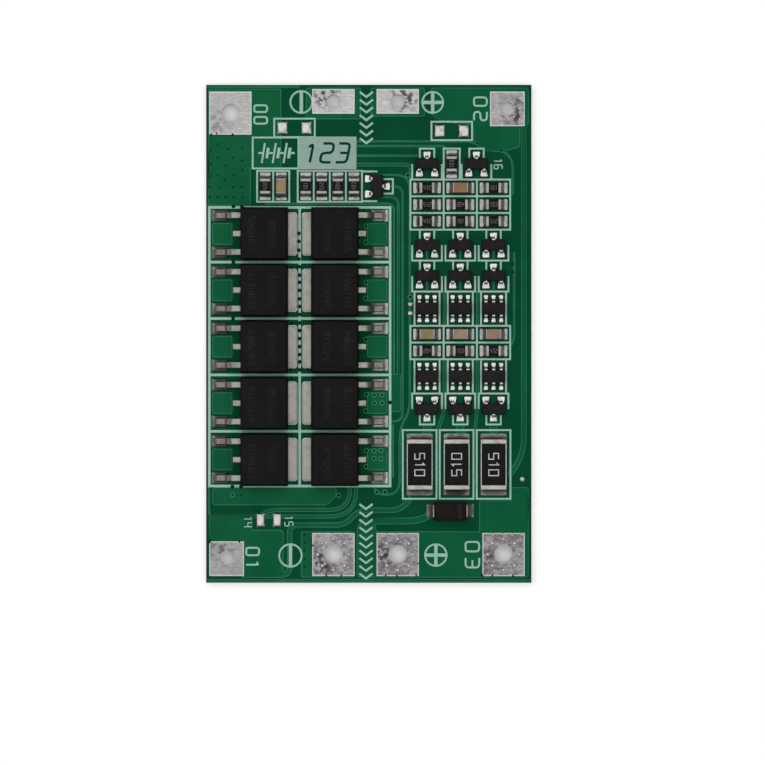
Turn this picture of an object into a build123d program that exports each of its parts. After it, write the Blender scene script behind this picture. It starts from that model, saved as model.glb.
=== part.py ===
from build123d import *
import os
from math import atan2, radians, tan

# A small battery management board, in millimetres. X runs across the board, Y along it and Z up
# from its underside. It lies flat with its component side up, and the origin is under its middle.

# Laminate and the layers on it
board_width = 40.5
board_length = 62.0
board_thickness = 1.2
copper_relief = 0.04          # masked copper stands this far above the bare laminate
ink_cover = 0.03              # legend ink above the masked copper
land_height = 0.09            # tinned land above the laminate, which every part stands on
pad_recess = 0.05             # underside pads are let in, so that the underside is flat
copper_edge = 0.35            # copper stays this far inside the board's edge

# Wire terminals: pad sizes, plated holes, places
heavy_pad_width = 5.25
heavy_pad_length = 5.35
tap_pad_size = 4.3
charge_pad_length = 3.05
heavy_hole_radius = 1.1
tap_hole_radius = 0.85
plating = 0.2                 # wall of the plated hole with the solder that lines it
pad_left_inset = 0.4
pad_right_inset = 0.85
pad_end_inset = 0.85
charge_end_inset = 0.55
wire_pitch = 8.0              # between the negative and the positive wire terminal
wire_middle = -0.4            # the wire terminals' centre line, from the board's
pour_margin = 0.8             # copper round a wire terminal

# Power transistors
fet_rows = 5
fet_body_length = 6.0         # along X, from legs to tab
fet_body_width = 6.6
fet_body_height = 2.3
fet_gap = 0.42                # between the bodies of two rows
fet_spine_gap = 0.7           # between the tabs of the two columns
fet_edge_inset = 1.3          # leg tips from the board's left edge
fet_drop = 1.61               # the five rows' middle, below the board's
tab_width = 5.2
tab_reach = 1.05
tab_chamfer = 0.7
tab_root = 4.2                # the part of the tab that lies under the body
metal_thickness = 0.5
leg_width = 0.75
leg_spread = 4.57             # between the two legs
leg_reach = 2.95
leg_shoulder = 0.9
leg_foot = 1.35
leg_exit = 0.9                # underside of the legs where they leave the body
stub_reach = 0.85
fet_frame_margin = 0.9        # legend frame, from the leg tips
leg_land_width = 1.5
leg_land_length = 2.1
leg_land_overhang = 0.65      # land beyond the leg tip

# Small three-leg and six-leg parts
sot_body_width = 2.9
sot3_body_depth = 1.3
sot6_body_depth = 1.6
sot_body_height = 1.0
sot_standoff = 0.08
sot_lead_exit = 0.45
sot_lead_thickness = 0.13
sot_lead_width = 0.42
sot3_lead_pitch = 1.9
sot6_lead_pitch = 0.95
sot_lead_reach = 0.58
sot_lead_foot = 0.27
sot_lead_root = 0.08          # run of a lead that is trimmed to its body
sot3_land_width = 1.0
sot3_land_length = 0.95
sot6_land_width = 0.56
sot6_land_length = 1.0
sot_land_overhang = 0.35      # land beyond the lead tip

# Chip parts
chip_length = 2.0
chip_width = 1.25
resistor_height = 0.5
capacitor_height = 0.85
chip_cap = 0.4                # length of a tinned end
cap_wall = 0.03               # a tinned end stands this far proud of the body
chip_land_width = 1.35
chip_land_reach = 0.72        # land beyond the chip's end
large_chip_length = 6.35
large_chip_width = 3.2
large_chip_height = 0.6
large_chip_cap = 0.6
large_land_reach = 0.67
fillet_rise = 0.35            # height of a solder fillet, as a share of the chip's height

# Rectifier diode
diode_length = 4.1
diode_width = 2.4
diode_height = 2.1
diode_lead_width = 1.5
diode_lead_thickness = 0.2
diode_lead_fold = 1.1         # lead folded under the body
diode_land_length = 1.75
diode_land_width = 1.7

# Legend and moulding
ink_line = 0.22
fet_ink_line = 0.32           # line round and between the power transistors
draft = 6                     # mould draft, degrees
mould_edge = 0.15
lead_root = 0.3               # run of a large lead that is trimmed to its body

# Grid of small parts beside the power transistors, stacked from the top
grid_columns = 3
grid_pitch = 4.14
grid_shift = 0.06             # the grid's middle, left of that of the room beside the transistors
grid_lift = 1.255             # the grid's middle with the large resistors, above the board's
chip_row = 2.08
sot3_row = 3.85
sot6_row = 4.27
large_row = 8.55
large_row_gap = 0.7
large_pitch = 4.6
large_frame_width = 4.2
sot_bracket = 3.7             # width of the legend bracket round a small part's two leads
sot_box = 1.8                 # width of the legend box round its single lead
sot_box_depth = 1.15
diode_gap = 1.5               # diode's centre below the large resistors' frame
diode_shift = 0.8             # diode's centre left of the middle large resistor
pair_pitch = 6.15             # between the two transistors at the top of the grid

# Strip of chips above the power transistors
strip_inset = 6.35            # left end of the strip, from the board's left edge
strip_cell = 2.0
strip_group_gap = 1.05
strip_first_group = 2
strip_second_group = 4
strip_clearance = 0.7         # above the power transistors' frame
strip_capacitor = 1           # which chip of the strip is a capacitor, counted from 0
mixed_capacitor = 1           # and which of the grid's mixed row

# Rating box and unfitted places
rating_inset = 5.8
rating_width = 12.8
rating_height = 3.85
rating_split = 5.7            # width of its open field
rating_clearance = 0.3        # above the strip
spare_pitch = 3.0
spare_land_width = 1.35
spare_land_length = 1.55
spare_frame_width = 5.05
spare_frame_length = 2.3
spare_inset = 5.2             # first unfitted place, from the rating box's left end
spare_clearance = 1.2         # its centre above the rating box
spare_lift = 2.2              # second unfitted place, above the grid
test_inset = 7.8              # test lands' middle, from the board's left edge
test_drop = 4.25              # below the power transistors
test_pitch = 2.05
test_land_width = 1.1
test_land_length = 1.7
dot_land_width = 0.7
dot_land_length = 0.6
dot_pitch = 1.1

# Tracks
track_width = 0.5
lane_width = 0.28
lane_pitch = 0.53
lane_inset = 0.4              # first lane, from the power transistors' frame
lane_drop = 1.1               # outer lane's start, above the strip's middle
bend = 1.0                    # radius of a corner
wide_bend = 2.4
corner_share = 0.48           # of the shorter run, the most that a corner takes
copper_gap = 0.2              # between copper and the lands beside it
edge_strip = 0.8              # copper strip along the right edge
tap_0_pour = 8.9              # width of the first cell tap's copper
tap_1_pour = 9.3
tap_2_pour = 6.9
common_pour_width = 14.7      # copper below the power transistors
common_pour_length = 2.0
common_pour_shift = 3.0       # its middle, left of the two columns' middle
level_heights = (0.88, 0.33, -0.88, -1.98)    # level tracks above the grid, from its top
lane_end_row = 2              # row of power transistors where two lanes end, counted from 0
gate_row = 3                  # and the one where the third lane turns in

# Derived edges and levels
left = -board_width / 2
right = board_width / 2
top_edge = board_length / 2
bottom_edge = -board_length / 2
top = board_thickness
seat = top + land_height
ink_top = top + copper_relief + ink_cover

# Derived places of the power transistors
fet_pitch = fet_body_width + fet_gap
fet_reach = leg_reach + fet_body_length + tab_reach
fet_left_x = left + fet_edge_inset + leg_reach + fet_body_length / 2
spine_x = left + fet_edge_inset + fet_reach + fet_spine_gap / 2
fet_right_x = 2 * spine_x - fet_left_x
fet_tip_right = spine_x + fet_spine_gap / 2 + fet_reach
fet_frame_left = left + fet_edge_inset - fet_frame_margin
fet_frame_right = fet_tip_right + fet_frame_margin
fet_y = [((fet_rows - 1) / 2 - row) * fet_pitch - fet_drop for row in range(fet_rows)]
fet_block_top = fet_y[0] + fet_body_width / 2
fet_block_bottom = fet_y[-1] - fet_body_width / 2

# Derived places of the grid
grid_middle = (fet_frame_right + right) / 2 - grid_shift
grid_x = [grid_middle + (i - (grid_columns - 1) / 2) * grid_pitch for i in range(grid_columns)]
grid_left = grid_x[0] - grid_pitch / 2
grid_right = grid_x[-1] + grid_pitch / 2
row_kinds = ["sot3 pair", "mixed", "resistors", "resistors", "sot3", "sot3", "sot6",
             "capacitors", "resistors", "sot6", "sot3 flipped"]
row_heights = {"sot3 pair": sot3_row, "sot3": sot3_row, "sot3 flipped": sot3_row, "sot6": sot6_row}
grid_length = sum(row_heights.get(kind, chip_row) for kind in row_kinds) + large_row_gap + large_row
row_tops = [grid_lift + grid_length / 2]
for kind in row_kinds:
    row_tops.append(row_tops[-1] - row_heights.get(kind, chip_row))
row_y = [(above + below) / 2 for above, below in zip(row_tops, row_tops[1:])]
large_top = row_tops[-1] - large_row_gap
large_y = large_top - large_row / 2
large_bottom = large_top - large_row
large_x = [grid_x[-1] - (grid_columns - 1 - i) * large_pitch for i in range(grid_columns)]
diode_x = (large_x[0] + large_x[-1]) / 2 - diode_shift
diode_y = large_bottom - diode_gap

# Derived places of the strip and the rating box
strip_y = fet_block_top + strip_clearance + sot3_row / 2
strip_x = [left + strip_inset + (i + 0.5) * strip_cell for i in range(strip_first_group)]
second_group_x = left + strip_inset + strip_first_group * strip_cell + strip_group_gap
strip_x += [second_group_x + (i + 0.5) * strip_cell for i in range(strip_second_group)]
strip_end = second_group_x + strip_second_group * strip_cell
strip_sot_x = strip_end + sot3_row / 2
rating_left = left + rating_inset
rating_bottom = strip_y + sot3_row / 2 + rating_clearance
rating_top = rating_bottom + rating_height


def slab(outline, low, high):
    """A flat outline made solid between two heights."""
    return extrude(Pos(0, 0, low) * outline, high - low)


def rectangle(x_low, x_high, y_low, y_high):
    """A rectangle between four sides."""
    return Pos((x_low + x_high) / 2, (y_low + y_high) / 2) * Rectangle(x_high - x_low, y_high - y_low)


def frame(x_low, x_high, y_low, y_high, line=ink_line):
    """A rectangular line of ink, centred on four sides."""
    half = line / 2
    outer = rectangle(x_low - half, x_high + half, y_low - half, y_high + half)
    return outer - rectangle(x_low + half, x_high - half, y_low + half, y_high - half)


def stroke(points, width=ink_line):
    """Straight lines of one width through the points."""
    path = Line(*points) if len(points) == 2 else Polyline(*points)
    return trace(path, width)


def track(points, width=track_width, cut=bend):
    """A copper track with each corner cut across, as far as the runs beside it allow."""
    path = [Vector(*points[0])]
    for start, corner, finish in zip(points, points[1:], points[2:]):
        run_in = Vector(*corner) - Vector(*start)
        run_out = Vector(*finish) - Vector(*corner)
        room = min(cut, corner_share * min(run_in.length, run_out.length))
        path += [Vector(*corner) - run_in.normalized() * room, Vector(*corner) + run_out.normalized() * room]
    path.append(Vector(*points[-1]))
    return stroke(path, width)


def curved_track(points, width=track_width, radius=wide_bend):
    """A copper track with each corner rounded, as far as the runs beside it allow."""
    radii = []
    for start, corner, finish in zip(points, points[1:], points[2:]):
        run_in = Vector(*corner) - Vector(*start)
        run_out = Vector(*finish) - Vector(*corner)
        half_turn = radians(run_in.get_angle(run_out)) / 2
        room = corner_share * min(run_in.length, run_out.length) / tan(half_turn)
        radii.append(min(radius, room))
    return trace(FilletPolyline(*points, radius=radii), width)


def united(outlines):
    """One sketch of all the outlines."""
    return Sketch() + outlines


def moulded(length, width, low, parting, high):
    """A moulded body with draft above and below its parting line, where its metal comes out."""
    middle = Pos(0, 0, parting) * Rectangle(length, width)
    body = extrude(middle, high - parting, taper=draft)
    return body + extrude(middle, parting - low, dir=(0, 0, -1), taper=draft)


def strip_of_metal(side, width):
    """A strip of metal with this outline seen from the side, centred on Y = 0."""
    profile = make_face(Plane.XZ * Polyline(*side, close=True))
    return extrude(profile, width / 2, both=True)


def power_leg():
    """A long leg along +X: level out of its body, down a slope, and level on its land."""
    run = leg_reach - leg_foot - leg_shoulder
    shift = metal_thickness * tan(atan2(leg_exit, run) / 2)
    high = leg_exit + metal_thickness
    foot_x = leg_reach - leg_foot
    side = [
        (-lead_root, leg_exit), (leg_shoulder, leg_exit), (foot_x, 0), (leg_reach, 0),
        (leg_reach, metal_thickness), (foot_x + shift, metal_thickness),
        (leg_shoulder + shift, high), (-lead_root, high),
    ]
    return strip_of_metal(side, leg_width)


def small_lead():
    """A small lead along +X: sloping out of its body, and level on its land."""
    foot_x = sot_lead_reach - sot_lead_foot
    shift = sot_lead_thickness * tan(atan2(sot_lead_exit, foot_x) / 2)
    rise = sot_lead_exit / foot_x * sot_lead_root
    side = [
        (-sot_lead_root, sot_lead_exit + rise), (foot_x, 0), (sot_lead_reach, 0),
        (sot_lead_reach, sot_lead_thickness), (foot_x + shift, sot_lead_thickness),
        (-sot_lead_root, sot_lead_exit + rise + sot_lead_thickness),
    ]
    return strip_of_metal(side, sot_lead_width)


def power_transistor():
    """Body and leadframe on the plane Z = 0, legs towards -X and tab towards +X."""
    end = fet_body_length / 2
    tip = end + tab_reach
    half = tab_width / 2
    tab_outline = Polyline(
        (end - tab_root, -half), (tip - tab_chamfer, -half), (tip, tab_chamfer - half),
        (tip, half - tab_chamfer), (tip - tab_chamfer, half), (end - tab_root, half), close=True)
    tab = extrude(make_face(tab_outline), metal_thickness)
    legs = [Pos(-end, side * leg_spread / 2, 0) * Rot(0, 0, 180) * power_leg() for side in (-1, 1)]
    stub_x = -end - (stub_reach - lead_root) / 2
    stub_z = leg_exit + metal_thickness / 2
    stub = Pos(stub_x, 0, stub_z) * Box(stub_reach + lead_root, leg_width, metal_thickness)
    body = moulded(fet_body_length, fet_body_width, 0, leg_exit, fet_body_height)
    body = chamfer(body.faces().sort_by(Axis.Z)[-1].edges(), mould_edge)
    leads = [lead - body for lead in [stub] + legs]
    return body - tab, [tab] + leads


def small_package(depth, lead_places):
    """A small moulded body and its leads on the plane Z = 0; each place is (X, side of Y)."""
    body = moulded(sot_body_width, depth, sot_standoff, sot_lead_exit, sot_body_height)
    lead = small_lead()
    leads = [Pos(x, side * depth / 2, 0) * Rot(0, 0, 90 * side) * lead for x, side in lead_places]
    return body, [one - body for one in leads]


def sot3_leads():
    """Lead places of a three-leg part: one lead up, two down."""
    return [(0, 1), (-sot3_lead_pitch / 2, -1), (sot3_lead_pitch / 2, -1)]


def sot6_leads():
    """Lead places of a six-leg part."""
    return [(i * sot6_lead_pitch, side) for side in (1, -1) for i in (-1, 0, 1)]


def chip(length, width, height, cap):
    """A chip's body and its two tinned ends on the plane Z = 0, lengthwise along X."""
    body = Pos(0, 0, cap_wall + height / 2) * Box(length - 2 * cap, width, height)
    end = Pos(0, 0, cap_wall + height / 2) * Box(cap, width + 2 * cap_wall, height + 2 * cap_wall)
    return body, [Pos(side * (length - cap) / 2, 0, 0) * end for side in (-1, 1)]


def diode():
    """The rectifier: a moulded body with two strips that fold down and under it, along X."""
    stand = diode_lead_thickness
    level = (diode_height - stand) / 2
    body = moulded(diode_length, diode_width, stand, level, diode_height)
    end = diode_length / 2
    outer = end + stand
    side = [
        (end - lead_root, level), (end, level), (end, stand), (end - diode_lead_fold, stand),
        (end - diode_lead_fold, 0), (outer, 0), (outer, level + stand), (end - lead_root, level + stand),
    ]
    strip = strip_of_metal(side, diode_lead_width) - body
    return body, [strip, Rot(0, 0, 180) * strip]


def chip_solder(length, height, width, reach):
    """A land with its solder fillet for each end of a chip, from the laminate up, along X."""
    end = length / 2
    rise = land_height + fillet_rise * height
    side = [(end - reach, 0), (end + reach, 0), (end, rise), (end, land_height), (end - reach, land_height)]
    land = strip_of_metal(side, width)
    return [land, Rot(0, 0, 180) * land]


def flat_land(x, y, width, length):
    """A flat tinned land from the laminate up."""
    return Pos(x, y, land_height / 2) * Box(width, length, land_height)


def placed(shapes, x, y, z=seat, turn=0):
    """The shapes moved to a place on the board."""
    spot = Pos(x, y, z) * Rot(0, 0, turn)
    return [spot * shape for shape in shapes]


def placed_all(shapes, places):
    """The shapes at each place where a part stands."""
    return [shape for x, y, turn in places for shape in placed(shapes, x, y, seat, turn)]


def power_transistor_lands():
    """Lands of one power transistor, from the laminate up: under both feet and the tab."""
    end = fet_body_length / 2
    foot_x = -end - leg_reach - leg_land_overhang + leg_land_length / 2
    feet = [flat_land(foot_x, side * leg_spread / 2, leg_land_length, leg_land_width) for side in (-1, 1)]
    tab_margin = (fet_spine_gap - ink_line) / 4
    tab_length = tab_root + tab_reach + tab_margin
    tab = flat_land(end - tab_root + tab_length / 2, 0, tab_length, tab_width + 2 * tab_margin)
    return feet + [tab]


def small_package_lands(depth, lead_places, width, length):
    """Lands of a small part, from the laminate up."""
    reach = depth / 2 + sot_lead_reach + sot_land_overhang - length / 2
    return [flat_land(x, side * reach, width, length) for x, side in lead_places]


def terminal(width, length, hole_radius):
    """A wire terminal: a pad on each side of the laminate and the plated hole that joins them."""
    pad = Rectangle(width, length)
    piece = slab(pad, top, seat) + slab(pad, 0, pad_recess)
    piece += slab(Circle(hole_radius + plating), 0, seat)
    return piece - slab(Circle(hole_radius), 0, seat)


def terminal_places():
    """Each terminal's name with its centre, pad size and hole radius."""
    tap_left = left + pad_left_inset + tap_pad_size / 2
    tap_right = right - pad_right_inset - tap_pad_size / 2
    heavy_left = left + pad_left_inset + heavy_pad_width / 2
    heavy_right = right - pad_right_inset - heavy_pad_width / 2
    low_y = bottom_edge + pad_end_inset + heavy_pad_length / 2
    high_y = top_edge - pad_end_inset - heavy_pad_length / 2
    tap_low_y = bottom_edge + pad_end_inset + tap_pad_size / 2
    tap_high_y = top_edge - pad_end_inset - tap_pad_size / 2
    charge_y = top_edge - charge_end_inset - charge_pad_length / 2
    minus_x = wire_middle - wire_pitch / 2
    plus_x = wire_middle + wire_pitch / 2
    heavy = (heavy_pad_width, heavy_pad_length, heavy_hole_radius)
    tap = (tap_pad_size, tap_pad_size, tap_hole_radius)
    charge = (heavy_pad_width, charge_pad_length, tap_hole_radius)
    return {
        "cell_tap_0": (heavy_left, high_y) + heavy,
        "cell_tap_1": (tap_left, tap_low_y) + tap,
        "cell_tap_2": (tap_right, tap_high_y) + tap,
        "cell_tap_3": (heavy_right, low_y) + heavy,
        "charge_negative": (minus_x, charge_y) + charge,
        "charge_positive": (plus_x, charge_y) + charge,
        "discharge_negative": (minus_x, low_y) + heavy,
        "discharge_positive": (plus_x, low_y) + heavy,
    }


terminals = terminal_places()

# Further places on the board
pair_x = [grid_x[0], grid_x[0] + pair_pitch]
pair_chip_x = grid_x[0] + pair_pitch / 2
spare_places = [(rating_left + spare_inset, rating_top + spare_clearance),
                (pair_chip_x, row_tops[0] + spare_lift)]
test_x = left + test_inset
test_y = fet_block_bottom - test_drop
lane_x = [fet_frame_right + lane_inset + i * lane_pitch for i in range(3)]
outer_lane_x = grid_left - copper_gap
dot_x = outer_lane_x + copper_gap
dot_y = row_y[row_kinds.index("sot6")]
fet_places = [(fet_left_x, y, 0) for y in fet_y] + [(fet_right_x, y, 180) for y in fet_y]
sot3_places = [(strip_sot_x, strip_y, -90)] + [(x, row_y[0], 0) for x in pair_x]
sot6_places = []
resistor_places = [(pair_chip_x, row_y[0], 90)]
capacitor_places = []
large_places = [(x, large_y, 90) for x in large_x]
for column, x in enumerate(strip_x):
    kin = capacitor_places if column == strip_capacitor else resistor_places
    kin.append((x, strip_y, 90))
for kind, y in list(zip(row_kinds, row_y))[1:]:
    for column, x in enumerate(grid_x):
        if kind.startswith("sot3"):
            sot3_places.append((x, y, 180 if kind == "sot3 flipped" else 0))
        elif kind == "sot6":
            sot6_places.append((x, y, 0))
        elif kind == "capacitors" or (kind == "mixed" and column == mixed_capacitor):
            capacitor_places.append((x, y, 0))
        else:
            resistor_places.append((x, y, 0))


def land_solids():
    """Every tinned land with its solder, from the laminate up."""
    lands = []
    for x, y, turn in fet_places:
        lands += placed(power_transistor_lands(), x, y, top, turn)
    for x, y, turn in sot3_places:
        pads = small_package_lands(sot3_body_depth, sot3_leads(), sot3_land_width, sot3_land_length)
        lands += placed(pads, x, y, top, turn)
    for x, y, turn in sot6_places:
        pads = small_package_lands(sot6_body_depth, sot6_leads(), sot6_land_width, sot6_land_length)
        lands += placed(pads, x, y, top, turn)
    for height, places in ((resistor_height, resistor_places), (capacitor_height, capacitor_places)):
        pads = chip_solder(chip_length, height, chip_land_width, chip_land_reach)
        for x, y, turn in places:
            lands += placed(pads, x, y, top, turn)
    for x, y, turn in large_places:
        pads = chip_solder(large_chip_length, large_chip_height, large_chip_width, large_land_reach)
        lands += placed(pads, x, y, top, turn)
    diode_land_x = diode_length / 2
    pads = [flat_land(side * diode_land_x, 0, diode_land_length, diode_land_width) for side in (-1, 1)]
    lands += placed(pads, diode_x, diode_y, top)
    for x, y in spare_places:
        pads = [flat_land(side * spare_pitch / 2, 0, spare_land_width, spare_land_length) for side in (-1, 1)]
        lands += placed(pads, x, y, top)
    pads = [flat_land(side * test_pitch / 2, 0, test_land_width, test_land_length) for side in (-1, 1)]
    lands += placed(pads, test_x, test_y, top)
    pads = [flat_land(0, side * dot_pitch / 2, dot_land_width, dot_land_length) for side in (-1, 1)]
    lands += placed(pads, dot_x, dot_y, top)
    return lands


def tinned_areas(lands):
    """Flat outlines of the lands and terminal pads, which the mask and the ink leave free."""
    areas = []
    for land in lands:
        box = land.bounding_box()
        areas.append(rectangle(box.min.X, box.max.X, box.min.Y, box.max.Y))
    for x, y, width, length, _ in terminals.values():
        areas.append(Pos(x, y) * Rectangle(width, length))
    return areas


def pad_sides(name):
    """The four sides of a terminal's pad: low X, high X, low Y, high Y."""
    x, y, width, length, _ = terminals[name]
    return x - width / 2, x + width / 2, y - length / 2, y + length / 2


def power_copper():
    """Pours that carry the current: round the terminals, beside the legs and along the edges."""
    low, high = left + copper_edge, right - copper_edge
    floor, roof = bottom_edge + copper_edge, top_edge - copper_edge
    pours = []
    for name in ("charge_negative", "charge_positive"):
        x_low, x_high, y_low, _ = pad_sides(name)
        pours.append(rectangle(x_low - pour_margin, x_high + pour_margin, y_low - pour_margin, roof))
    x_low, x_high, _, y_high = pad_sides("discharge_negative")
    pours.append(rectangle(x_low - 2 * pour_margin, x_high + pour_margin, floor, y_high + copper_gap))

    narrow = strip_x[0] - strip_cell / 2 - pour_margin
    pours.append(rectangle(low, low + tap_0_pour, rating_bottom, roof))
    pours.append(rectangle(low, narrow, fet_block_top + copper_gap, rating_bottom))
    y_high = test_y + test_land_length / 2
    y_low = test_y - test_land_length / 2 - copper_gap
    pours.append(rectangle(low, test_x - test_pitch / 2 - test_land_width, y_low, y_high))
    pours.append(rectangle(low, low + tap_1_pour, floor + pour_margin, y_low))

    _, _, tap_floor, _ = pad_sides("cell_tap_2")
    inner = high - edge_strip - copper_gap
    pours.append(rectangle(high - tap_2_pour, inner, row_tops[0], tap_floor))
    pours.append(rectangle(spare_places[1][0], high, tap_floor, roof))
    strip_middle = high - edge_strip / 2
    strip_low = large_y - pour_margin
    pours.append(track([(strip_middle, tap_floor), (strip_middle, strip_low),
                        (grid_right, strip_low - 2 * pour_margin)], edge_strip, wide_bend))

    x_low, _, _, y_high = pad_sides("discharge_positive")
    shelf = diode_x + diode_length / 2 + 2 * pour_margin
    pours.append(rectangle(x_low - pour_margin, high, floor, y_high + copper_gap))
    pours.append(rectangle(shelf, high, y_high, large_bottom - copper_gap))
    pours.append(rectangle(large_x[-1] + large_frame_width / 2 + copper_gap, high, large_bottom - bend,
                           large_bottom + bend))

    half = leg_spread / 2 - leg_land_width / 2 - copper_gap
    stub_tip = fet_body_length / 2 + stub_reach + copper_gap
    tip = fet_body_length / 2 + leg_reach + leg_land_overhang
    for x, y, turn in fet_places:
        pours.append(Pos(x, y) * Rot(0, 0, turn) * rectangle(-tip, -stub_tip, -half, half))
    common_y = fet_block_bottom - pour_margin - common_pour_length / 2
    pours.append(Pos(spine_x - common_pour_shift, common_y)
                 * RectangleRounded(common_pour_width, common_pour_length, common_pour_length / 4))
    return pours


def control_tracks():
    """Thin tracks between the parts."""
    tracks = []
    strip_floor = strip_y - sot3_row / 2
    level_x = rating_left + rating_width
    pair_top = row_tops[0] - sot_box_depth
    start_x = strip_x[0]
    low_lane = fet_block_top + (strip_floor - fet_block_top) / 2
    frame_x = fet_frame_right + copper_gap
    low_end = fet_block_bottom - pour_margin
    lane_end = fet_y[lane_end_row] - leg_spread
    gate_y = fet_y[gate_row] - leg_spread / 2
    tracks.append(track([(start_x, low_lane), (lane_x[0], low_lane), (lane_x[0], lane_end)], lane_width))
    tracks.append(track([(strip_sot_x, strip_floor + track_width), (lane_x[1], strip_floor + track_width),
                         (lane_x[1], lane_end)], lane_width))
    tracks.append(track([(strip_sot_x, strip_y), (lane_x[1], strip_y), (lane_x[2], strip_floor + bend),
                         (lane_x[2], gate_y), (frame_x, gate_y)], lane_width))
    tracks.append(track([(strip_sot_x, strip_y + lane_drop), (outer_lane_x, strip_y + lane_drop),
                         (outer_lane_x, large_top + wide_bend), (lane_x[1], large_top),
                         (lane_x[1], low_end), (fet_frame_right - track_width, low_end)], lane_width))
    tracks.append(rectangle(lane_x[0], lane_x[1] + lane_width, gate_y + bend, fet_y[gate_row] + leg_spread))

    lane_y = [row_tops[0] + height for height in level_heights]
    corner_x = pair_x[1] + sot_box / 2
    tracks.append(track([(level_x, lane_y[0]), (corner_x, lane_y[0]), (corner_x + bend, row_tops[0]),
                         (grid_right - bend, row_tops[0] - lane_width),
                         (grid_right + copper_gap, row_tops[0] - 2 * bend),
                         (grid_right + copper_gap, row_y[row_kinds.index("mixed")])], lane_width))
    tracks.append(track([(level_x, lane_y[1]), (pair_chip_x, lane_y[1]), (pair_chip_x, pair_top)],
                        lane_width, bend / 2))
    tracks.append(track([(level_x, lane_y[2]), (pair_x[0], lane_y[2])], lane_width))
    tracks.append(track([(level_x, lane_y[3]), (outer_lane_x + lane_width, lane_y[3]),
                         (outer_lane_x + lane_width, row_y[0] - bend)], track_width, bend / 2))

    upper_chips = row_kinds.index("sot6")
    lower_chips = len(row_kinds) - 2
    for i in range(grid_columns - 1):
        between = (grid_x[i] + grid_x[i + 1]) / 2
        below = (large_x[i] + large_x[i + 1]) / 2
        ends = [(between, y) for y in row_tops[upper_chips:upper_chips + 2]]
        tracks.append(track(ends, lane_width))
        tracks.append(track([(between, row_tops[lower_chips]), (between, row_y[-1]), (below, large_top)]))
    for x in grid_x:
        tracks.append(track([(x, row_y[-1]), (x, large_top - pour_margin)], 2 * track_width))
    side_x = grid_right + copper_gap + lane_width / 2
    side_y = row_y[lower_chips - 1]
    tracks.append(track([(side_x, row_tops[upper_chips - 1] + bend), (side_x, side_y + bend),
                         (grid_right, side_y)], lane_width, bend / 2))
    return tracks


def lower_tracks():
    """Tracks below the power transistors, nested round one corner, and those beside the diode."""
    tracks = []
    first_y = test_y + pour_margin + track_width
    end_x = fet_right_x + leg_shoulder
    pad_x = [test_x - test_pitch / 2, test_x + test_pitch / 2]
    tracks.append(curved_track([(pad_x[0], test_y), (pad_x[0], first_y), (end_x, first_y),
                                (end_x, fet_block_bottom - copper_gap)]))
    second_y = first_y - track_width - lane_width
    tracks.append(curved_track([(pad_x[1], second_y), (end_x + pour_margin, second_y),
                                (end_x + pour_margin, fet_block_bottom - copper_gap)]))
    third_y = second_y - track_width - lane_width - copper_gap
    drop_x = pad_x[1] + pour_margin + track_width + lane_width
    tracks.append(curved_track([(drop_x, third_y), (end_x, third_y),
                                (wire_middle - track_width, second_y + pour_margin)]))
    tap_x, _, _, _ = pad_sides("cell_tap_1")
    low_y = bottom_edge + 2 * track_width
    tracks.append(track([(drop_x, third_y), (drop_x, low_y), (tap_x, low_y)]))

    _, _, _, pad_top = pad_sides("discharge_positive")
    diode_end = diode_x - diode_length / 2 - diode_land_length / 2
    level = diode_y
    tracks.append(track([(wire_middle, level), (large_x[0] - wide_bend, level),
                         (large_x[0] - bend, large_bottom)]))
    level = pad_top + bend + copper_gap
    tracks.append(track([(wire_middle, level), (diode_end - bend, level), (diode_end + bend, diode_y)],
                        pour_margin))
    return tracks


def transistor_legend():
    """Ink round a three-leg part on its own centre: a bracket below and a box above."""
    half = sot_bracket / 2
    end = sot3_row / 2
    bracket = stroke([(-half, 0), (-half, -end), (half, -end), (half, 0)])
    side = sot_box / 2
    box = stroke([(-side, end - sot_box_depth), (-side, end), (side, end), (side, end - sot_box_depth)])
    return bracket + box


def legend():
    """All frames of the legend and the rating box."""
    lines = [frame(fet_frame_left, spine_x, fet_block_bottom, fet_block_top, fet_ink_line),
             frame(spine_x, fet_frame_right, fet_block_bottom, fet_block_top, fet_ink_line)]
    for y in fet_y[:-1]:
        gap_y = y - fet_pitch / 2
        lines.append(stroke([(fet_frame_left, gap_y), (fet_frame_right, gap_y)], fet_ink_line))
    for x, y, turn in sot3_places:
        lines.append(Pos(x, y) * Rot(0, 0, turn) * transistor_legend())
    for x, y, _ in sot6_places:
        half = sot_body_width / 2 + ink_line / 2
        lines.append(frame(x - half, x + half, y - sot6_row / 2, y + sot6_row / 2))
    for x, y, turn in resistor_places + capacitor_places:
        if turn:
            cell = frame(x - strip_cell / 2, x + strip_cell / 2, y - sot3_row / 2, y + sot3_row / 2)
        else:
            cell = frame(x - grid_pitch / 2, x + grid_pitch / 2, y - chip_row / 2, y + chip_row / 2)
        lines.append(cell)
    for x in large_x:
        lines.append(frame(x - large_frame_width / 2, x + large_frame_width / 2, large_bottom, large_top))
    for x, y in spare_places:
        lines.append(frame(x - spare_frame_width / 2, x + spare_frame_width / 2,
                           y - spare_frame_length / 2, y + spare_frame_length / 2))
    split_x = rating_left + rating_split
    rating_right = rating_left + rating_width
    lines.append(frame(rating_left, split_x, rating_bottom, rating_top))
    half = ink_line / 2
    lines.append(rectangle(split_x - half, rating_right + half, rating_bottom - half, rating_top + half))
    return lines


def laminate():
    """The board itself, with room for the terminals' lower pads and plated holes."""
    board = slab(Rectangle(board_width, board_length), 0, board_thickness)
    for x, y, width, length, hole in terminals.values():
        board -= slab(Pos(x, y) * Rectangle(width, length), 0, pad_recess)
        board -= slab(Pos(x, y) * Circle(hole + plating), 0, board_thickness)
    return board


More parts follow.
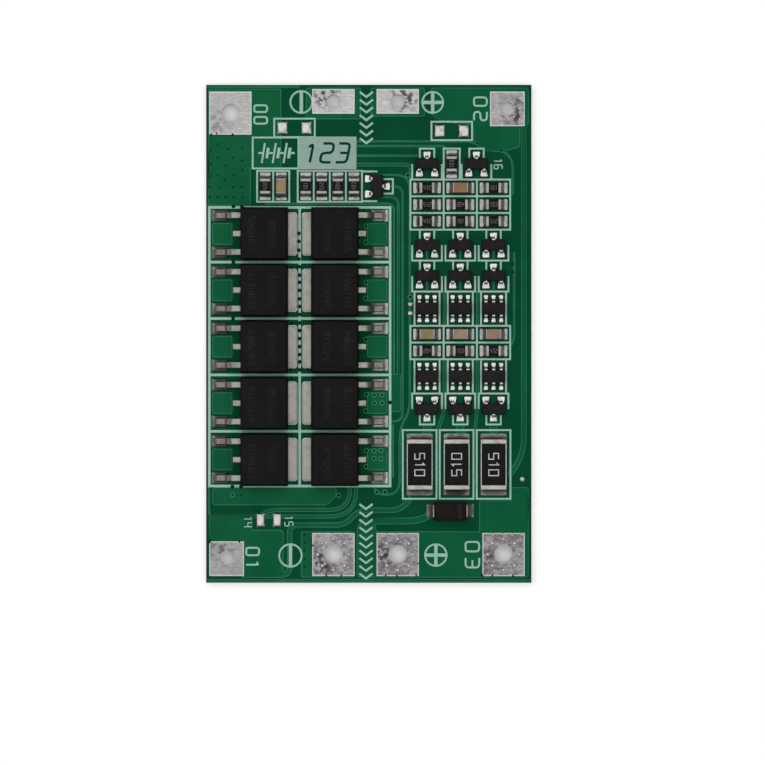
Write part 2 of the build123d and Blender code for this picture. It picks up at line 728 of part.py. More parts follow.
def write(name, shapes):
    """One node: a single solid, or a group of separate ones."""
    solids = [solid for shape in shapes for solid in shape.solids()]
    node = solids[0] if len(solids) == 1 else Compound(children=solids)
    node.label = name
    export_step(node, f"parts/{name}.step")


def write_copies(name, shapes, places):
    """The same piece at each place, numbered from 1, each a node of its own."""
    for number, (x, y, turn) in enumerate(places, 1):
        write(f"{name}_{number}", placed(shapes, x, y, seat, turn))


def main():
    """Build every node."""
    os.makedirs("parts", exist_ok=True)
    write("board", [laminate()])
    for name, (x, y, width, length, hole) in terminals.items():
        write(name, [Pos(x, y, 0) * terminal(width, length, hole)])

    lands = land_solids()
    tinned = united(tinned_areas(lands))
    write("solder_lands", lands)
    outline = united(power_copper() + control_tracks() + lower_tracks()) - tinned
    copper = slab(outline, top, top + copper_relief)
    write("copper_tracks", [copper])
    ink = slab(united(legend()) - tinned, top, ink_top)
    write("legend_ink", [ink - copper])

    body, metal = power_transistor()
    write_copies("power_transistor", [body], fet_places)
    write_copies("leadframe", metal, fet_places)
    body, leads = small_package(sot3_body_depth, sot3_leads())
    write_copies("small_transistor", [body], sot3_places)
    write("small_transistor_leads", placed_all(leads, sot3_places))
    body, leads = small_package(sot6_body_depth, sot6_leads())
    write_copies("protection_chip", [body], sot6_places)
    write("protection_chip_leads", placed_all(leads, sot6_places))

    ends = []
    for name, height, places in (("chip_resistors", resistor_height, resistor_places),
                                 ("chip_capacitors", capacitor_height, capacitor_places)):
        body, caps = chip(chip_length, chip_width, height, chip_cap)
        write(name, placed_all([body], places))
        ends += placed_all(caps, places)
    body, caps = chip(large_chip_length, large_chip_width, large_chip_height, large_chip_cap)
    write_copies("bleed_resistor", [body], large_places)
    ends += placed_all(caps, large_places)
    write("chip_ends", ends)
    body, strips = diode()
    write("diode", placed([body], diode_x, diode_y))
    write("diode_leads", placed(strips, diode_x, diode_y))


main()
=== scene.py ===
"""Looks of a small battery management board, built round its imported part.

Sizes are in millimetres in the part's own frame, and meshes are scaled to metres when they are made.
"""
import logging
import math
import random
from dataclasses import dataclass
from enum import Enum
from typing import Callable, Dict, List, Optional, Sequence, Tuple, Union

import bmesh
import bpy
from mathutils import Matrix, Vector
from mathutils.geometry import delaunay_2d_cdt


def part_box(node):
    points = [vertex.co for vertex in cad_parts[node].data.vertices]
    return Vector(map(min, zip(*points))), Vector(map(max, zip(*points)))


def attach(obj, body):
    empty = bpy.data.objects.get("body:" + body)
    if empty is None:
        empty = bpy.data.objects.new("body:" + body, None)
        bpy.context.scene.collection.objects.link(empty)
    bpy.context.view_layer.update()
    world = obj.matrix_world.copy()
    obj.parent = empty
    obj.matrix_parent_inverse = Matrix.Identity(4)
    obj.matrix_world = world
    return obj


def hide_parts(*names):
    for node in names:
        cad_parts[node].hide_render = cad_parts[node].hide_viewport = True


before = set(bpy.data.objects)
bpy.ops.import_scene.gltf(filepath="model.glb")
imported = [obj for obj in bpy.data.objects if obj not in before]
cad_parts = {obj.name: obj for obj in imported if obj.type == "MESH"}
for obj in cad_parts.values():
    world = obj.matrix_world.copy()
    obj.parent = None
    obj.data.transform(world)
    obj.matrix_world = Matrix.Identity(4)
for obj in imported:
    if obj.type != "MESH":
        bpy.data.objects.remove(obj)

MM = 0.001
STUDIO_LIGHT = 0.75
BODY = "root"
LOG = logging.getLogger("board")

# Levels over the board's underside: the bare laminate, the masked copper, the ink, and the tin of the pads.
LAMINATE_TOP = 1.2
COPPER_TOP = 1.24
INK_TOP = 1.27
TIN_TOP = 1.29

# How far a moulded side leans in over each millimetre of height.
DRAFT = math.tan(math.radians(6))

Point2 = Tuple[float, float]
Point3 = Tuple[float, float, float]
Colour = Tuple[float, float, float]
Box = Tuple[Vector, Vector]
Shape = Tuple[List[Point3], List[Sequence[int]]]


def linear(red: int, green: int, blue: int) -> Colour:
    """A screen colour of 0 to 255 a channel, as scene-linear values."""
    shares = [channel / 255 for channel in (red, green, blue)]
    return tuple(((s + 0.055) / 1.055) ** 2.4 if s > 0.04 else s / 12.92 for s in shares)


def lit(red: int, green: int, blue: int) -> Colour:
    """The surface colour that looks like this screen colour in the studio's light."""
    return tuple(min(0.95, c / STUDIO_LIGHT) for c in linear(red, green, blue))


def scaled(colour: Colour, factor: float) -> Colour:
    """A colour made this many times as bright, up to full white."""
    return tuple(min(1.0, c * factor) for c in colour)


# Shader building


class Socket:
    """One output of a material's nodes. Arithmetic on it adds Math nodes."""

    def __init__(self, paint: "Paint", output: bpy.types.NodeSocket) -> None:
        """Wraps an output.

        Args:
            paint: the paint whose tree the output is in.
            output: the node's output.
        """
        self.paint = paint
        self.output = output

    def __add__(self, other: "Value") -> "Socket":
        """This plus other."""
        return self.paint.maths("ADD", self, other)

    def __sub__(self, other: "Value") -> "Socket":
        """This minus other."""
        return self.paint.maths("SUBTRACT", self, other)

    def __rsub__(self, other: "Value") -> "Socket":
        """Other minus this."""
        return self.paint.maths("SUBTRACT", other, self)

    def __mul__(self, other: "Value") -> "Socket":
        """This times other."""
        return self.paint.maths("MULTIPLY", self, other)

    def __rmul__(self, other: "Value") -> "Socket":
        """Other times this."""
        return self.paint.maths("MULTIPLY", other, self)

    def __gt__(self, other: "Value") -> "Socket":
        """One where this is greater than other, and nought elsewhere."""
        return self.paint.maths("GREATER_THAN", self, other)

    def __lt__(self, other: "Value") -> "Socket":
        """One where this is less than other, and nought elsewhere."""
        return self.paint.maths("LESS_THAN", self, other)

    def __abs__(self) -> "Socket":
        """This without its sign."""
        return self.paint.maths("ABSOLUTE", self)


Value = Union[Socket, float, int, Sequence[float]]


class Paint:
    """One material's node tree, with a method for each group of nodes that the finishes share."""

    def __init__(self, name: str) -> None:
        """Makes an empty material with a Principled shader.

        Args:
            name: the material's name.
        """
        self.material = bpy.data.materials.new(name)
        self.material.use_nodes = True
        self.tree = self.material.node_tree
        self.tree.nodes.clear()
        self.shader = self.tree.nodes.new("ShaderNodeBsdfPrincipled")
        surface = self.tree.nodes.new("ShaderNodeOutputMaterial")
        self.tree.links.new(self.shader.outputs[0], surface.inputs["Surface"])

    def node(self, kind: str, settings: Optional[dict] = None, sockets: Optional[dict] = None,
             output: Union[int, str] = 0) -> Socket:
        """Adds any node.

        Args:
            kind: the node's type.
            settings: its settings, which are set first.
            sockets: its inputs' values or links.
            output: which output is wanted.

        Returns:
            That output.
        """
        made = self.tree.nodes.new(kind)
        for key, value in (settings or {}).items():
            setattr(made, key, value)
        for key, value in (sockets or {}).items():
            self.feed(made.inputs[key], value)
        return Socket(self, made.outputs[output])

    def feed(self, target: bpy.types.NodeSocket, value: Value) -> None:
        """Sets an input, or links it.

        Args:
            target: the input.
            value: a number, a colour or a socket.
        """
        if isinstance(value, Socket):
            self.tree.links.new(value.output, target)
        elif target.type == "RGBA":
            target.default_value = (*value[:3], 1.0)
        else:
            target.default_value = value

    def maths(self, operation: str, *values: Value) -> Socket:
        """Adds a Math node.

        Args:
            operation: what it works out.
            values: what from.

        Returns:
            Its result.
        """
        return self.node("ShaderNodeMath", {"operation": operation}, dict(enumerate(values)))

    def place(self, stretch: Point3 = (1, 1, 1)) -> Socket:
        """The point's place on the part.

        Args:
            stretch: a factor for each axis.

        Returns:
            The place in millimetres, times the factors.
        """
        at = self.node("ShaderNodeTexCoord", output="Object")
        factors = tuple(s / MM for s in stretch)
        return self.node("ShaderNodeVectorMath", {"operation": "MULTIPLY"}, {0: at, 1: factors})

    def along(self, axis: str) -> Socket:
        """The point's place along one of the part's axes, in millimetres."""
        return self.node("ShaderNodeSeparateXYZ", {}, {0: self.place()}, output=axis)

    def noise(self, scale: float, detail: float = 3.0, stretch: Point3 = (1, 1, 1)) -> Socket:
        """Soft noise of 0 to 1 with this many waves to the millimetre."""
        return self.node("ShaderNodeTexNoise", {},
                         {"Vector": self.place(stretch), "Scale": scale, "Detail": detail})

    def cells(self, scale: float) -> Socket:
        """Distance to the nearest of scattered points."""
        return self.node("ShaderNodeTexVoronoi", {}, {"Vector": self.place(), "Scale": scale})

    def facing(self) -> Socket:
        """One where the surface lies flat, and nought where it is upright."""
        normal = self.node("ShaderNodeTexCoord", output="Normal")
        return abs(self.node("ShaderNodeSeparateXYZ", {}, {0: normal}, output="Z"))

    def band(self, value: Socket, low: float, high: float, out_low: float = 0.0,
             out_high: float = 1.0) -> Socket:
        """A value's range from low to high, eased into another range.

        Args:
            value: what is mapped.
            low: its value where the result is out_low.
            high: its value where the result is out_high.
            out_low: the result's lowest value.
            out_high: the result's highest value.

        Returns:
            The eased value.
        """
        return self.node("ShaderNodeMapRange", {"interpolation_type": "SMOOTHSTEP"},
                         {0: value, 1: low, 2: high, 3: out_low, 4: out_high})

    def mix(self, share: Value, first: Value, second: Value) -> Socket:
        """Two colours mixed, with this share of the second."""
        return self.node("ShaderNodeMix", {"data_type": "RGBA"}, {0: share, 6: first, 7: second}, output=2)

    def bump(self, height: Socket, relief: float, strength: float = 1.0) -> None:
        """Feeds the shader's normal from a height of 0 to 1.

        Args:
            height: the height.
            relief: what a height of 1 stands for, in millimetres.
            strength: the bump's strength.
        """
        normal = self.node("ShaderNodeBump", {},
                           {"Strength": strength, "Distance": relief * MM, "Height": height})
        self.feed(self.shader.inputs["Normal"], normal)

    def dress(self, **inputs: Value) -> None:
        """Sets the shader's inputs, named with underscores for blanks."""
        for key, value in inputs.items():
            self.feed(self.shader.inputs[key.replace("_", " ")], value)


# Finishes


@dataclass(frozen=True)
class Finish:
    """A surface's look, and the record's slot that it stands for."""

    name: str
    slot: str

    def lay(self, paint: Paint) -> None:
        """Builds the look's nodes.

        Args:
            paint: the paint to build them in.
        """
        raise NotImplementedError

    def material(self) -> bpy.types.Material:
        """The look's material, made at its first use."""
        made = bpy.data.materials.get(self.name)
        if made is None:
            paint = Paint(self.name)
            self.lay(paint)
            made = paint.material
        return made


@dataclass(frozen=True)
class MaskFinish(Finish):
    """Green solder mask, satin, with the weave of the laminate under it.

    Attributes:
        colour: the mask's colour where it is thin.
        cut_edge: the colour of the board's cut edges, if they show.
        weave: the depth of the weave.
    """

    colour: Colour
    cut_edge: Optional[Colour] = None
    weave: float = 0.006

    def tone(self, paint: Paint) -> Value:
        """The colour of the mask where it is neither thick nor thin."""
        return self.colour

    def lay(self, paint: Paint) -> None:
        """Builds the mask's nodes.

        Args:
            paint: the paint to build them in.
        """
        cloud = paint.noise(0.22, 4.0)
        grain = paint.noise(9.0, 2.0)
        thick = paint.band(0.75 * cloud + 0.25 * grain, 0.3, 0.7, 0.3, 0.0)
        colour = paint.mix(thick, self.tone(paint), (0.0, 0.02, 0.012))
        roughness = paint.band(paint.noise(1.6, 3.0), 0.3, 0.7, 0.3, 0.42)
        height = 0.5 * paint.noise(2.2, 2.0, (1, 0.12, 1)) + 0.5 * paint.noise(2.2, 2.0, (0.12, 1, 1))
        if self.cut_edge:
            flat = paint.band(paint.facing(), 0.4, 0.6)
            layers = paint.band(paint.noise(7.0, 3.0, (0.25, 0.25, 1.6)), 0.35, 0.65)
            fibre = paint.mix(layers, scaled(self.cut_edge, 0.7), self.cut_edge)
            colour = paint.mix(flat, fibre, colour)
            roughness = 0.75 - flat * (0.75 - roughness)
        paint.dress(Base_Color=colour, Roughness=roughness, Specular_IOR_Level=0.12,
                    Specular_Tint=(0.1, 0.75, 0.45))
        paint.bump(height, self.weave)


@dataclass(frozen=True)
class CopperFinish(MaskFinish):
    """Mask over copper, in another shade towards the right and round the lower left terminal.

    Attributes:
        far: the mask's colour there.
        field: the left, right, lower and upper side of the ground round that terminal.
        fade: where along X the shade sets in, and where it is full.
    """

    far: Colour = (0.0, 0.1, 0.05)
    field: Tuple[float, float, float, float] = (-14.6, -10.4, -30.2, -24.9)
    fade: Point2 = (-6.0, 9.0)

    def tone(self, paint: Paint) -> Value:
        """The mask's colour, shaded over the board.

        Args:
            paint: the paint to build the shading in.

        Returns:
            The colour.
        """
        x, y = paint.along("X"), paint.along("Y")
        left, right, low, high = self.field
        inside = paint.band(x, left - 1.0, left + 0.4) * paint.band(x, right, right + 0.3, 1.0, 0.0)
        inside = inside * paint.band(y, low - 0.3, low) * paint.band(y, high - 0.4, high + 0.6, 1.0, 0.0)
        shade = paint.maths("MAXIMUM", paint.band(x, *self.fade), inside)
        return paint.mix(shade, self.colour, self.far)


@dataclass(frozen=True)
class InkFinish(Finish):
    """Legend ink: screen-printed, thin enough that the green shows through here and there.

    Attributes:
        colour: the ink's colour.
        block: its colour in the filled field of the rating box.
        under: the green that shows through.
        field: the left, right, lower and upper side of the filled field.
    """

    colour: Colour
    block: Colour
    under: Colour
    field: Tuple[float, float, float, float] = (-8.72, -1.0, 20.0, 24.5)

    def lay(self, paint: Paint) -> None:
        """Builds the ink's nodes.

        Args:
            paint: the paint to build them in.
        """
        grain = paint.noise(6.0, 3.0)
        cloud = paint.noise(0.8, 3.0)
        thin = paint.band(0.6 * grain + 0.4 * cloud, 0.3, 0.62, 0.2, 0.0)
        x, y = paint.along("X"), paint.along("Y")
        left, right, low, high = self.field
        inside = (x > left) * (x < right) * (y > low) * (y < high)
        paint.dress(Base_Color=paint.mix(thin, paint.mix(inside, self.colour, self.block), self.under),
                    Roughness=paint.band(grain, 0.3, 0.7, 0.5, 0.7), Specular_IOR_Level=0.3)
        paint.bump(grain, 0.006)


@dataclass(frozen=True)
class PadFinish(Finish):
    """A tinned terminal pad: levelled tin, fine streaks, a painted rim highlight, mottling, a dark flux
    smudge.

    Attributes:
        middle: the pad's middle.
        half: half its length and half its width.
        smudge: the smudge's middle.
        amount: how dark the smudge is.
        mottle: how strong the mottling is.
        shade: what the tin's brightness is multiplied by.
        bright: the tin's colour.
        dark: the smudge's colour.
        dull: the mottling's colour.
        edge: the colour of the painted highlight along the rim.
        rim: how far from the pad's edge the painted highlight starts, and where it is full.
        spread: how far from its middle the smudge starts to fade, and where it ends.
    """

    middle: Point2
    half: Point2
    smudge: Point2
    amount: float
    mottle: float
    shade: float
    bright: Colour = linear(204, 201, 201)
    dark: Colour = linear(54, 48, 53)
    dull: Colour = linear(137, 131, 138)
    edge: Colour = linear(212, 216, 212)
    rim: Point2 = (0.16, 0.08)
    spread: Point2 = (0.5, 2.5)

    def near_highlit_edge(self, paint: Paint, axis: int) -> Socket:
        """One at the pad's two edges across an axis, under the painted highlight, and nought away from them.

        Args:
            paint: the paint to build it in.
            axis: 0 for X, 1 for Y.

        Returns:
            The value.
        """
        away = abs(paint.along("XY"[axis]) - self.middle[axis])
        return paint.band(away, *(self.half[axis] - inset for inset in self.rim))

    def near_smudge(self, paint: Paint) -> Socket:
        """One at the middle of the smudge, and nought away from it.

        Args:
            paint: the paint to build it in.

        Returns:
            The value.
        """
        offset = paint.node("ShaderNodeVectorMath", {"operation": "SUBTRACT"},
                            {0: paint.place(), 1: (*self.smudge, TIN_TOP)})
        away = paint.node("ShaderNodeVectorMath", {"operation": "LENGTH"}, {0: offset}, output="Value")
        return paint.band(away, *self.spread, 1.0, 0.0)

    def lay(self, paint: Paint) -> None:
        """Builds the pad's nodes.

        Args:
            paint: the paint to build them in.
        """
        streaks = paint.noise(2.4, 4.0, (0.5, 1.9, 1))
        speckle = paint.noise(5.0, 4.0)
        tone = paint.band(0.55 * streaks + 0.45 * speckle, 0.36, 0.64)
        field = scaled(self.bright, self.shade)
        tin = paint.mix(tone, scaled(field, 0.7), field)
        rim = paint.maths("MAXIMUM", self.near_highlit_edge(paint, 0), self.near_highlit_edge(paint, 1))
        soft = 0.65 * paint.noise(2.6, 6.0, (0.7, 1.2, 1)) + 0.35 * paint.noise(0.5, 2.0)
        cloud = paint.band(soft, 0.4, 0.58) * self.mottle * (1 - rim)
        tin = paint.mix(cloud, tin, scaled(self.dull, self.shade))
        blots = paint.band(paint.noise(1.5, 5.0), 0.46, 0.58)
        stain = blots * self.near_smudge(paint) * self.amount * (1 - rim)
        # Painted highlight: the rim is lightened towards the edge colour.
        tin = paint.mix(rim * 0.6, tin, self.edge)
        paint.dress(Base_Color=paint.mix(stain, tin, self.dark), Metallic=0.75 - 0.6 * stain,
                    Roughness=paint.band(speckle, 0.3, 0.7, 0.36, 0.52) + 0.2 * stain)
        paint.bump(0.6 * streaks + 0.4 * speckle, 0.03, 0.8)


@dataclass(frozen=True)
class MetalFinish(Finish):
    """Tinned metal or solder: streaks along one axis, faint stains, a grain, and a tone near the board.

    Attributes:
        colour: the metal's colour.
        rough: its roughness.
        stretch: a factor for the grain along each axis.
        stain: how strong the stains are.
        relief: the depth of the grain.
        grain: the grain's waves to the millimetre.
        metal: the share of metal in its shine.
        low: its colour near the board, if that is another; on the solders it is darker, as painted shade.
        level: how far over the laminate that colour ends, and where the other is reached.
    """

    colour: Colour
    rough: float
    stretch: Point3 = (1, 1, 1)
    stain: float = 0.2
    relief: float = 0.01
    grain: float = 5.0
    metal: float = 0.95
    low: Optional[Colour] = None
    level: Point2 = (0.0, 1.0)

    def lay(self, paint: Paint) -> None:
        """Builds the metal's nodes.

        Args:
            paint: the paint to build them in.
        """
        streaks = paint.noise(self.grain, 4.0, self.stretch)
        stains = paint.band(paint.noise(1.3, 4.0), 0.45, 0.7, 0.0, self.stain)
        dull = tuple(c * f for c, f in zip(self.colour, (0.5, 0.45, 0.38)))
        tone = paint.mix(paint.band(streaks, 0.3, 0.7), scaled(self.colour, 0.86), self.colour)
        # On the solders, the low colour is painted shade towards the fillets' lower edges.
        if self.low:
            raised = paint.band(paint.along("Z"), *(LAMINATE_TOP + height for height in self.level))
            tone = paint.mix(raised, self.low, tone)
        rough = paint.band(streaks, 0.3, 0.7, self.rough * 0.85, self.rough * 1.15)
        paint.dress(Base_Color=paint.mix(stains, tone, dull), Metallic=self.metal,
                    Roughness=rough + 0.25 * stains)
        paint.bump(streaks, self.relief)


@dataclass(frozen=True)
class MouldFinish(Finish):
    """Moulded epoxy: near black, with the fine grain of a spark-eroded mould and pale filler specks."""

    colour: Colour
    rough: float = 0.5
    relief: float = 0.012

    def lay(self, paint: Paint) -> None:
        """Builds the epoxy's nodes.

        Args:
            paint: the paint to build them in.
        """
        grain = paint.noise(14.0, 3.0)
        cloud = paint.noise(0.7, 3.0)
        specks = paint.band(paint.noise(30.0, 1.0), 0.7, 0.78)
        tone = paint.mix(paint.band(cloud, 0.35, 0.65), scaled(self.colour, 0.8), scaled(self.colour, 1.25))
        paint.dress(Base_Color=paint.mix(specks * 0.35, tone, scaled(self.colour, 5)),
                    Roughness=paint.band(grain, 0.3, 0.7, self.rough - 0.07, self.rough + 0.08),
                    Specular_IOR_Level=0.12)
        paint.bump(grain, self.relief)


@dataclass(frozen=True)
class CeramicFinish(Finish):
    """Fired ceramic or glaze: faint pores, and a colour that varies by the cloud's share."""

    colour: Colour
    rough: float = 0.4
    cloud: float = 0.14
    gloss: float = 0.35

    def lay(self, paint: Paint) -> None:
        """Builds the ceramic's nodes.

        Args:
            paint: the paint to build them in.
        """
        soft = paint.band(paint.noise(1.1, 3.0), 0.3, 0.7)
        pores = paint.band(paint.cells(11.0), 0.05, 0.3)
        tone = paint.mix(soft, scaled(self.colour, 1 - self.cloud), scaled(self.colour, 1 + self.cloud))
        paint.dress(Base_Color=paint.mix((1 - pores) * 0.3, tone, scaled(self.colour, 0.5)),
                    Roughness=paint.band(soft, 0.0, 1.0, self.rough - 0.05, self.rough + 0.06),
                    Specular_IOR_Level=self.gloss)
        paint.bump(pores, 0.004)


@dataclass(frozen=True)
class FloorFinish(Finish):
    """A plain white sheet, lit a little from behind, with painted shadow where the board lies on it.

    Attributes:
        colour: the sheet's colour.
        covered: its colour under the board, darker as painted shadow.
        glow: how bright it is lit from behind.
        faint: what that is multiplied by under the board, as painted shadow.
        half: half the length and half the width of what counts as under the board.
    """

    colour: Colour
    covered: Colour
    glow: float = 0.4
    faint: float = 0.26
    half: Point2 = (20.0, 30.6)

    def lay(self, paint: Paint) -> None:
        """Builds the sheet's nodes.

        Args:
            paint: the paint to build them in.
        """
        fibre = paint.noise(1.2, 4.0)
        x, y = paint.along("X"), paint.along("Y")
        # Painted shadow under the board: a darker colour and less glow, seen through the holes.
        under = (x * x < self.half[0] ** 2) * (y * y < self.half[1] ** 2)
        sheet = paint.mix(paint.band(fibre, 0.3, 0.7), scaled(self.colour, 0.99), self.colour)
        paint.dress(Base_Color=paint.mix(under, sheet, self.covered), Roughness=0.85, Specular_IOR_Level=0.1,
                    Emission_Color=paint.mix(under, (1.0, 1.0, 1.0), (self.faint,) * 3),
                    Emission_Strength=self.glow)
        paint.bump(fibre, 0.01)


class Finishes:
    """Every finish of the board, under the name that its pieces use."""

    LAMINATE = MaskFinish("mask_on_laminate", "mask", lit(8, 66, 42), cut_edge=linear(152, 152, 108))
    COPPER = CopperFinish("mask_on_copper", "masked_copper", lit(20, 88, 55), far=lit(14, 86, 53))
    COPPER_EDGE = CopperFinish("mask_at_copper_edge", "masked_copper", lit(52, 114, 86), weave=0.003,
                               far=lit(50, 112, 84))
    INK = InkFinish("legend_ink", "ink", lit(148, 184, 171), lit(140, 163, 154), lit(40, 110, 75))
    GAP = MaskFinish("mask_in_ink_gap", "mask", lit(4, 52, 42))
    HOLE = MouldFinish("via_hole", "mask", lit(1, 22, 14), 0.6)
    # Bare laminate round the small lands, made near black as painted shade round their joints.
    BARE_LAMINATE_AND_SHADE = MouldFinish("bare_laminate_and_shade", "mask", lit(6, 34, 24), 0.6)
    ON_INK = MaskFinish("mask_on_inked_via", "masked_copper", lit(10, 58, 42), weave=0.002)
    VIA_RIM = MaskFinish("mask_on_via_rim", "masked_copper", lit(52, 122, 88), weave=0.002)

    SOLDER = MetalFinish("solder", "solder", linear(236, 234, 230), 0.26, stain=0.12, relief=0.014,
                         grain=3.2)
    CHIP_SOLDER = MetalFinish("chip_solder", "solder", linear(164, 166, 162), 0.27, stain=0.36,
                              relief=0.035, grain=3.6)
    # The low colours of these solders are painted shade on the lower edges of their fillets.
    FOOT_SOLDER = MetalFinish("foot_solder", "solder", linear(216, 218, 213), 0.26, stain=0.3,
                              relief=0.045, grain=3.0, low=linear(66, 78, 70), level=(0.056, 0.08))
    LEG_SOLDER = MetalFinish("leg_solder", "solder", linear(222, 225, 219), 0.3, stain=0.4, relief=0.035,
                             grain=2.2, low=linear(144, 150, 143), level=(0.05, 0.16))
    # Painted shade: a darker, duller copy of the leg solder for the legs left of the spine.
    SHADED_LEFT_SOLDER = MetalFinish("shaded_left_leg_solder", "solder", linear(146, 145, 136), 0.34, stain=0.6,
                              relief=0.035, grain=2.2, low=linear(74, 82, 74), level=(0.05, 0.16))
    BEAD = MetalFinish("solder_bead", "solder", linear(188, 185, 188), 0.36, stain=0.3, relief=0.02,
                       grain=3.0)
    DULL_SOLDER = MetalFinish("dull_solder", "solder", linear(150, 149, 144), 0.36, (2.2, 0.6, 1), 0.45,
                              0.03, 3.0)
    # Its low colour is painted shade towards the land's edges.
    BARE_SOLDER = MetalFinish("bare_solder", "solder", linear(200, 201, 198), 0.34, stain=0.35,
                              relief=0.08, grain=1.4, low=linear(112, 120, 114), level=(0.06, 0.2))

    LEAD = MetalFinish("tinned_lead", "tinned_metal", linear(154, 153, 145), 0.36, (0.4, 1.6, 1), 0.5,
                       0.014, low=linear(121, 118, 110), level=(0.65, 1.1))
    DIODE_LEAD = MetalFinish("diode_lead", "tinned_metal", linear(180, 172, 163), 0.36, (0.4, 1.6, 1),
                             0.5, 0.014)
    TAB = MetalFinish("tinned_tab", "tinned_metal", linear(162, 159, 152), 0.45, (1.8, 0.35, 1), 0.2,
                      0.012)
    SMALL_LEAD = MetalFinish("small_lead", "tinned_metal", linear(206, 206, 200), 0.3, stain=0.1)
    CHIP_END = MetalFinish("chip_end", "tinned_metal", linear(158, 157, 153), 0.34, (1, 1, 1), 0.3, 0.012)
    LARGE_END = MetalFinish("large_chip_end", "tinned_metal", linear(182, 177, 173), 0.4, (0.3, 2.4, 1),
                            0.45, 0.03, 3.0)
    LIP = MetalFinish("hole_lip", "tinned_pad", linear(188, 183, 184), 0.45, stain=0.3)

    EPOXY = MouldFinish("power_epoxy", "mould_compound", linear(11, 9, 9))
    SMALL_EPOXY = MouldFinish("small_epoxy", "mould_compound", linear(26, 22, 24), 0.48)
    DIODE_EPOXY = MouldFinish("diode_epoxy", "mould_compound", linear(16, 13, 12), 0.5)
    CATHODE = MouldFinish("cathode_band", "mould_compound", linear(40, 35, 33), 0.55)
    LASER = MouldFinish("laser_mark", "mould_compound", linear(44, 42, 41), 0.7)

    GLAZE = CeramicFinish("resistor_glaze", "resistor_coat", linear(13, 11, 13), 0.34, gloss=0.1)
    ALUMINA = CeramicFinish("alumina", "resistor_coat", lit(180, 180, 176), 0.5)
    CODE = CeramicFinish("printed_code", "resistor_coat", lit(176, 176, 176), 0.5)
    FAINT_CODE = CeramicFinish("faint_code", "resistor_coat", lit(104, 96, 98), 0.5)

    # The second colour is painted shadow under the board.
    FLOOR = FloorFinish("white_sheet", "", (0.85, 0.85, 0.85), (0.8, 0.8, 0.8))


# Mesh building


class Sketch:
    """Collects shapes in millimetres and makes one piece of them."""

    def __init__(self, *shapes: Shape) -> None:
        """Starts with some shapes.

        Args:
            shapes: the shapes, which have the piece's first finish.
        """
        self.points: List[Point3] = []
        self.faces: List[Sequence[int]] = []
        self.marks: List[int] = []
        self.add_all(shapes)

    def add(self, shape: Shape, mark: int = 0) -> None:
        """Adds a shape.

        Args:
            shape: its points and faces.
            mark: which of the piece's finishes it has.
        """
        points, faces = shape
        start = len(self.points)
        self.points += points
        self.faces += [[start + i for i in face] for face in faces]
        self.marks += [mark] * len(faces)

    def add_all(self, shapes: Sequence[Shape]) -> None:
        """Adds shapes that all have the piece's first finish."""
        for shape in shapes:
            self.add(shape)

    def piece(self, name: str, finishes: Sequence[Finish], smooth: float = 35.0) -> bpy.types.Object:
        """Makes the piece, which rides on the board.

        Args:
            name: the piece's name.
            finishes: its finishes, in the order of the marks.
            smooth: edges that turn less than this many degrees are shaded smooth.

        Returns:
            The new object.
        """
        mesh = bpy.data.meshes.new(name)
        mesh.from_pydata([tuple(c * MM for c in p) for p in self.points], [], self.faces)
        for finish in finishes:
            mesh.materials.append(finish.material())
        mesh.polygons.foreach_set("material_index", self.marks)
        work = bmesh.new()
        work.from_mesh(mesh)
        bmesh.ops.recalc_face_normals(work, faces=work.faces)
        work.to_mesh(mesh)
        work.free()
        return present(name, mesh, finishes[0].slot, smooth)


def present(name: str, mesh: bpy.types.Mesh, slot: str, smooth: float) -> bpy.types.Object:
    """Puts a mesh into the scene as a piece of the board.

    Args:
        name: the piece's name.
        mesh: its mesh, in metres.
        slot: the record's slot that it takes its finish from.
        smooth: edges that turn less than this many degrees are shaded smooth.

    Returns:
        The new object.
    """
    mesh.polygons.foreach_set("use_smooth", [True] * len(mesh.polygons))
    mesh.set_sharp_from_angle(angle=math.radians(smooth))
    made = bpy.data.objects.new(name, mesh)
    bpy.context.scene.collection.objects.link(made)
    if slot:
        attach(made, BODY)
    LOG.info("%s: %d faces", name, len(mesh.polygons))
    return made


@dataclass(frozen=True)
class Spot:
    """A place on the board, and the turn in degrees about the upright of what stands there."""

    x: float
    y: float
    z: float
    turn: float = 0.0

    def point(self, x: float, y: float, z: float = 0.0) -> Point3:
        """A point beside the spot, on the board's own axes."""
        c, s = math.cos(math.radians(self.turn)), math.sin(math.radians(self.turn))
        return self.x + c * x - s * y, self.y + s * x + c * y, self.z + z

    def put(self, shape: Shape) -> Shape:
        """A shape moved to the spot."""
        return [self.point(*p) for p in shape[0]], shape[1]


def loft(rings: Sequence[Sequence[Point3]], closed: bool = False) -> Shape:
    """Skins loops that have as many points each, and caps the first and the last.

    Args:
        rings: the loops, in order.
        closed: the last loop joins the first, and there are no caps.

    Returns:
        The shape.
    """
    n = len(rings[0])
    points = [p for ring in rings for p in ring]
    faces: List[Sequence[int]] = []
    last = len(rings) if closed else len(rings) - 1
    for k in range(last):
        a, b = k * n, (k + 1) % len(rings) * n
        faces += [(a + i, a + (i + 1) % n, b + (i + 1) % n, b + i) for i in range(n)]
    if not closed:
        faces += [list(range(n))[::-1], [(len(rings) - 1) * n + i for i in range(n)]]
    return points, faces


def rounded_rectangle(length: float, width: float, radius: float, steps: int = 4) -> List[Point2]:
    """The outline of a rectangle with round corners, about its middle.

    Args:
        length: its size along its first axis.
        width: its size along the other.
        radius: the corners' radius.
        steps: cells in each corner.

    Returns:
        The outline, counterclockwise.
    """
    loop = []
    for quarter, (sx, sy) in enumerate(((1, 1), (-1, 1), (-1, -1), (1, -1))):
        for i in range(steps + 1):
            angle = math.radians(90 * quarter + 90 * i / steps)
            loop.append((sx * (length / 2 - radius) + radius * math.cos(angle),
                         sy * (width / 2 - radius) + radius * math.sin(angle)))
    return loop


